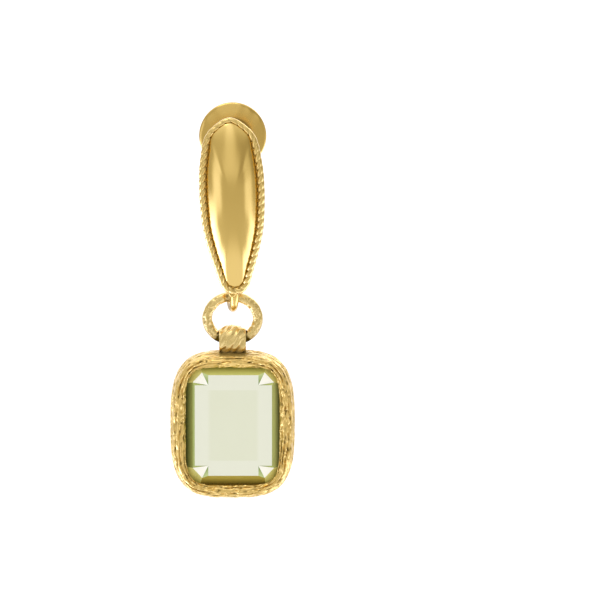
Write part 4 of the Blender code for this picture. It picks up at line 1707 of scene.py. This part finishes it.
    def make_stone(self, drop_y: float, centre_z: float) -> bpy.types.Object:
        """The faceted stone.

        Args:
            drop_y: Place of the drop's plane along Y.
            centre_z: Height of the setting's centre.

        Returns:
            The piece, with each facet's painted light stored in an attribute.
        """
        half_x = self.opening_width / 2 + self.stone_overlap
        half_z = self.opening_height / 2 + self.stone_overlap
        table_x, table_z = self.table_width / 2, self.table_height / 2
        inner_x, inner_z = table_x - self.notch_width, table_z - self.notch_height
        girdle_y = self.girdle_y(drop_y)
        corner = 0.5 ** (1.0 / self.opening_squareness)
        shoulder = tuple(
            (table_x * x, table_z * z) for x, z in ((1.054, 0.849), (0.935, 0.945), (0.81, 1.048))
        )
        girdle = tuple((half_x * x, half_z * z) for x, z in ((0.98, 0.66), (corner, corner), (0.66, 0.98)))
        rows = (
            (girdle_y - self.crown, ((table_x, inner_z), (inner_x, inner_z), (inner_x, table_z))),
            (girdle_y - self.crown * 0.78, shoulder),
            (girdle_y, girdle),
            (girdle_y + self.girdle, girdle),
            (girdle_y + self.girdle + self.pavilion * 0.6, tuple((x * 0.6, z * 0.66) for x, z in girdle)),
            (girdle_y + self.girdle + self.pavilion, tuple((x * 0.08, z * 0.25) for x, z in girdle)),
        )
        signs = ((1, 1), (-1, 1), (-1, -1), (1, -1))
        corners = 3 * len(signs)

        def place(turn: float, down: float) -> tuple[Vector, float]:
            """A corner of a facet.

            Args:
                turn: Share of the way round.
                down: Share of the way from pole to pole.

            Returns:
                The point and its crevice value.
            """
            row = round(down * (len(rows) + 1))
            if row in (0, len(rows) + 1):
                return Vector((0.0, rows[0][0] if row == 0 else rows[-1][0], centre_z)), 0.0
            y, points = rows[row - 1]
            quarter, index = divmod(round(turn * corners) % corners, 3)
            sign_x, sign_z = signs[quarter]
            x, z = points[index if quarter % 2 == 0 else 2 - index]
            shift_x, shift_z = self.table_shift if row <= 2 else (0.0, 0.0)
            return Vector((sign_x * x + shift_x, y, centre_z + sign_z * z + shift_z)), 0.0

        def at_corner(face: bpy.types.MeshPolygon) -> bool:
            """Whether a facet lies at a corner beside the table.

            Args:
                face: The facet.

            Returns:
                True for the facets that are split into triangles.
            """
            beside = abs(face.center.x) > inner_x and abs(face.center.z - centre_z) > inner_z
            return beside and girdle_y - self.crown < face.center.y < girdle_y - self.crown * 0.8

        piece = Workbench.ball("faceted_stone", corners, len(rows) + 1, place)
        Workbench.pick_faces(piece, at_corner)
        bpy.ops.mesh.quads_convert_to_tris(quad_method="LONGEST_DIAGONAL")
        bpy.ops.object.mode_set(mode="OBJECT")
        self.paint_facet_light(piece, rows[0][0], centre_z)
        return piece

    def paint_facet_light(self, piece: bpy.types.Object, table_y: float, centre_z: float) -> None:
        """Paints each facet of the stone with the light that it reflects or lets through.

        Args:
            piece: The stone.
            table_y: Place of the table along Y.
            centre_z: Height of the stone's centre.
        """
        mesh = piece.data
        on_table, at_notch = 0.001 * MM, 0.05 * MM
        tones = mesh.attributes.new("facet_tone", "FLOAT_COLOR", "CORNER")
        # Painted light: each colour stands for the light that a facet reflects or lets through: the table
        # pale, the corner triangles white glints, the strips beside the table from lit green to dark where
        # little light comes back.
        table, white = srgb(220, 220, 200), srgb(246, 242, 228)
        dark_refraction, lit_refraction = srgb(24, 20, 2), srgb(176, 182, 112)
        left_light, left_mid, left_dark = srgb(176, 190, 118), srgb(144, 150, 82), srgb(2, 1, 0)
        top_dark, top_light = srgb(112, 108, 24), srgb(196, 196, 108)
        low_dark, low_light = srgb(88, 66, 10), srgb(176, 158, 70)
        corner_dark, corner_light = srgb(186, 178, 84), srgb(216, 212, 132)
        wedge_dark, wedge_light = srgb(96, 120, 40), srgb(186, 198, 122)
        back = srgb(150, 160, 96)
        shift_x, shift_z = self.table_shift
        half_table = self.table_width / 2
        inner = Vector((half_table - self.notch_width, self.table_height / 2 - self.notch_height))
        for face in mesh.polygons:
            points = [mesh.vertices[i].co for i in face.vertices]
            depth = sum(p.y for p in points) / len(points) - table_y
            middle = Vector((abs(face.center.x - shift_x), abs(face.center.z - centre_z - shift_z)))
            rim_points = sum(abs(p.y - table_y) < on_table for p in points)
            flat = rim_points == len(points)
            for loop, point in zip(face.loop_indices, points):
                near = point.y - table_y < 0.3 * self.crown
                from_notch = Vector((abs(point.x - shift_x), abs(point.z - centre_z - shift_z))) - inner
                notch = from_notch.length < at_notch
                left = point.x < 0.0 and not flat
                if flat:
                    facet_light = table
                elif depth > self.crown * 1.02:
                    facet_light = back
                elif middle.y < inner.y * 0.7 and left:
                    facet_light = (left_light if depth < 0.12 * self.crown else left_mid) if near else left_dark
                    if not near and point.z > centre_z:
                        facet_light = dark_refraction
                elif middle.y < inner.y * 0.7:
                    facet_light = lit_refraction if near else dark_refraction
                elif middle.x < inner.x * 0.7 and face.center.z < centre_z:
                    facet_light = low_light if near else low_dark
                elif middle.x < inner.x * 0.7:
                    facet_light = top_light if near else top_dark
                elif len(points) == 3 and rim_points == 2:
                    facet_light = wedge_dark if notch else wedge_light
                elif len(points) == 3:
                    facet_light = white
                else:
                    facet_light = corner_light if near else corner_dark
                tones.data[loop].color = facet_light

    def build(
        self,
        bark: bpy.types.Material,
        bead: bpy.types.Material,
        stone: StoneFinish,
        ring: ConnectingRing,
        pivot: Vector,
    ) -> None:
        """Makes the drop's pieces.

        Args:
            bark: Finish of the frame.
            bead: Finish of the bail bead.
            stone: Finish of the stone.
            ring: The ring that the drop hangs on.
            pivot: Centre of the ring's wire in the bead.
        """
        bail_bottom = pivot.z + ring.wire / 2 + self.bail_top_wall - self.bail_height
        centre_z = bail_bottom + self.bail_sink - self.height / 2
        dress(self.make_frame(pivot.y, centre_z), bark, "drop", "setting")
        dress(self.make_bail(ring, pivot), bead, "drop", "setting")
        piece = self.make_stone(pivot.y, centre_z)
        table_y = self.girdle_y(pivot.y) - self.crown
        shift_x, shift_z = self.table_shift
        finish = stone.make(Vector((shift_x, table_y, centre_z + shift_z)), table_y)
        dress(piece, finish, "drop", "stone", Kind.CUT)


class StudioAir(Material):
    """What the metal mirrors: grey air, a white table and two tall soft lights in front."""

    def __init__(self, name: str) -> None:
        """Starts a world with its background shader.

        Args:
            name: The world's name.
        """
        self.data = bpy.data.worlds.new(name)
        self.data.use_nodes = True
        self.tree = self.data.node_tree
        self.tree.nodes.clear()
        self.shader = self.tree.nodes.new("ShaderNodeBackground")
        output = self.tree.nodes.new("ShaderNodeOutputWorld")
        self.tree.links.new(self.shader.outputs["Background"], output.inputs["Surface"])

    def make(self) -> bpy.types.World:
        """Builds the world.

        Returns:
            The world, bright at the sides below the horizon and dim above it.
        """
        axes = self.node("SeparateXYZ", Vector=self.node("TexCoord")["Generated"])
        x, y, z = axes["X"], axes["Y"], axes["Z"]
        level = (x * x + y * y + 0.0001) ** 0.5
        turn = x / level
        front = self.rise(0.0 - y, -0.35, 0.25)
        left = self.rise(turn, -0.52, -0.68) * self.rise(turn, -0.96, -0.84) * front
        right = self.rise(turn, 0.62, 0.76) * self.rise(turn, 0.985, 0.90) * front
        below = self.rise(z, -0.12, -0.40)
        above = self.rise(z, -0.08, 0.40)
        sides = self.rise(abs(turn), 0.78, 0.985)
        deep = self.rise(z, -0.40, -0.62)
        top = self.rise(z, 0.45, 0.85)
        column = self.rise(abs(turn), 0.38, 0.16) * self.rise(z, -0.05, 0.18) * front
        strips = (left * 0.62 + right * 0.52) * (1.0 - above) * self.rise(z, -0.40, -0.18)
        table = below * (0.05 + (2.4 - 0.8 * turn) * sides) + deep * 0.34
        gloom = sides * (1.0 - below) * 0.07
        flag = self.rise(turn, 0.0, 0.45) * self.rise(z, -0.06, 0.10) * front * 0.16
        wall = self.rise(y, 0.30, 0.75) * (0.38 + 0.42 * self.rise(z, -0.45, 0.45))
        bright = 0.60 + strips + table + top * 0.40 + column * 0.24 + wall - gloom - flag
        colour = self.node("ValToRGB", {"stops": (
            (0.04, (1.0, 0.90, 0.66, 1.0)),
            (0.15, (1.0, 0.99, 0.95, 1.0)),
            (0.30, (0.98, 1.03, 1.35, 1.0)),
            (0.75, (0.95, 1.05, 1.70, 1.0)),
        )}, Fac=bright * 0.25)["Color"]
        self.fill(self.shader, {"Color": colour, "Strength": bright})
        return self.data


@dataclass
class Studio:
    """Pale floor, soft lights and the camera.

    Attributes:
        target: The point that the camera looks at.
        elevation: The camera's height over the level, in degrees.
        lens: Focal length, in millimetres.
        frame_width: Width of what the camera sees at the target.
        floor: Height of the floor.
        reach: From the middle of the floor to the wall round it.
        aim: The point that the lights face.
    """

    target: Vector = field(default_factory=lambda: Vector((5.99 * MM, -0.8 * MM, -13.06 * MM)))
    elevation: float = 6.5
    lens: float = 1000.0
    frame_width: float = 53.3 * MM
    floor: float = -60.0 * MM
    reach: float = 3.0
    aim: Vector = field(default_factory=lambda: Vector((0.0, 0.0, -12.0 * MM)))

    def make_camera(self) -> None:
        """Adds the camera, level with the photo's view."""
        data = bpy.data.cameras.new("camera")
        data.lens = self.lens
        data.sensor_width = 36.0
        data.clip_start = 0.01
        data.clip_end = 50.0
        camera = bpy.data.objects.new("camera", data)
        bpy.context.scene.collection.objects.link(camera)
        distance = self.frame_width * self.lens / data.sensor_width
        tilt = math.radians(self.elevation)
        camera.location = self.target + Vector((0.0, -math.cos(tilt), math.sin(tilt))) * distance
        camera.rotation_euler = (math.pi / 2 - tilt, 0.0, 0.0)
        bpy.context.scene.camera = camera

    def make_floor(self) -> None:
        """Adds a pale floor that sweeps up into a wall all round."""
        Workbench.clear()
        bpy.ops.mesh.primitive_circle_add(
            vertices=96, radius=self.reach, fill_type="NGON", location=(0.0, 0.0, self.floor)
        )
        floor = Workbench.named("floor_sweep")
        bpy.ops.object.transform_apply(location=True, rotation=True, scale=True)
        with Workbench.editing():
            Workbench.extrude((0.0, 0.0, self.reach))
            bpy.ops.mesh.delete(type="ONLY_FACE")
            bpy.ops.mesh.select_all(action="SELECT")
            bpy.ops.mesh.normals_make_consistent(inside=True)
        Workbench.soften(floor, self.reach * 0.3, segments=12, angle=30.0)
        Workbench.choose(floor)
        bpy.ops.object.shade_smooth()
        floor.visible_glossy = False
        paper = Material("white sweep")
        paper.surface(Base_Color=(0.25, 0.25, 0.25, 1.0), Roughness=0.9)
        paper.surface(Emission_Color=(1.0, 1.0, 1.0, 1.0), Emission_Strength=0.85)
        floor.data.materials.append(paper.data)
        Workbench.clear()

    def add_light(
        self, name: str, place: tuple[float, float, float], size: tuple[float, float], brightness: float
    ) -> None:
        """Adds a soft rectangular light that faces the object.

        Args:
            name: The light's name.
            place: Where it stands.
            size: Its width and height.
            brightness: How bright its face is, 1 for white.
        """
        data = bpy.data.lights.new(name, "AREA")
        data.shape = "RECTANGLE"
        data.size, data.size_y = size
        data.energy = brightness * math.pi * size[0] * size[1]
        light = bpy.data.objects.new(name, data)
        bpy.context.scene.collection.objects.link(light)
        light.location = place
        light.rotation_euler = (self.aim - light.location).to_track_quat("-Z", "Y").to_euler()

    def build(self) -> None:
        """Sets up the studio."""
        self.make_camera()
        self.make_floor()
        self.add_light("overhead", (-0.12, -0.16, 0.42), (0.20, 0.14), 2.2)
        self.add_light("back light", (0.25, 0.30, 0.25), (0.20, 0.20), 1.6)
        bpy.context.scene.world = StudioAir("studio air").make()
        bpy.context.scene.view_settings.view_transform = "Standard"


def joint_place(frame: dict[str, Any], name: str) -> Vector:
    """Place of a joint's axis.

    Args:
        frame: The loaded frame.
        name: The joint's name.

    Returns:
        Its position.
    """
    return next(Vector(joint["pos_m"]) for joint in frame["joints"] if joint["name"] == name)


def main() -> None:
    """Builds the earring and its studio."""
    logging.basicConfig(level=logging.INFO, format="%(message)s")
    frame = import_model()
    Studio().build()

    polished = GoldFinish("polished gold").make()
    rope = GoldFinish("rope gold", tint=(0.93, 0.66, 0.22, 1.0), roughness=0.24).make()
    # Painted light and shade: the plain gold is a darker copy of the same gold, the cut and bark golds
    # paler copies.
    shaded_tint, worn_tint = (0.80, 0.535, 0.145, 1.0), (0.96, 0.685, 0.24, 1.0)
    plain = GoldFinish("plain gold", tint=shaded_tint, roughness=0.20, wave_depth=0.006 * MM).make()
    worn = GoldFinish("clasp gold", tint=worn_tint, roughness=0.24, wave_depth=0.008 * MM).make()
    lit_cut_tint, lit_bark_tint = (0.97, 0.725, 0.285, 1.0), (0.975, 0.675, 0.212, 1.0)
    cut = GoldFinish("cut gold", tint=lit_cut_tint, roughness=0.26).make()
    bark = GoldFinish("bark gold", tint=lit_bark_tint, roughness=0.30, grain_depth=0.004 * MM).make()

    ring_top = joint_place(frame, "ring_swing")
    ring_bottom = joint_place(frame, "drop_swing")
    Head().build(polished, rope, plain)
    Clasp().build(plain, worn)
    ring = ConnectingRing()
    ring.build(cut, (ring_top + ring_bottom) / 2)
    Drop().build(bark, cut, StoneFinish(), ring, ring_bottom)


if __name__ == "__main__":
    main()
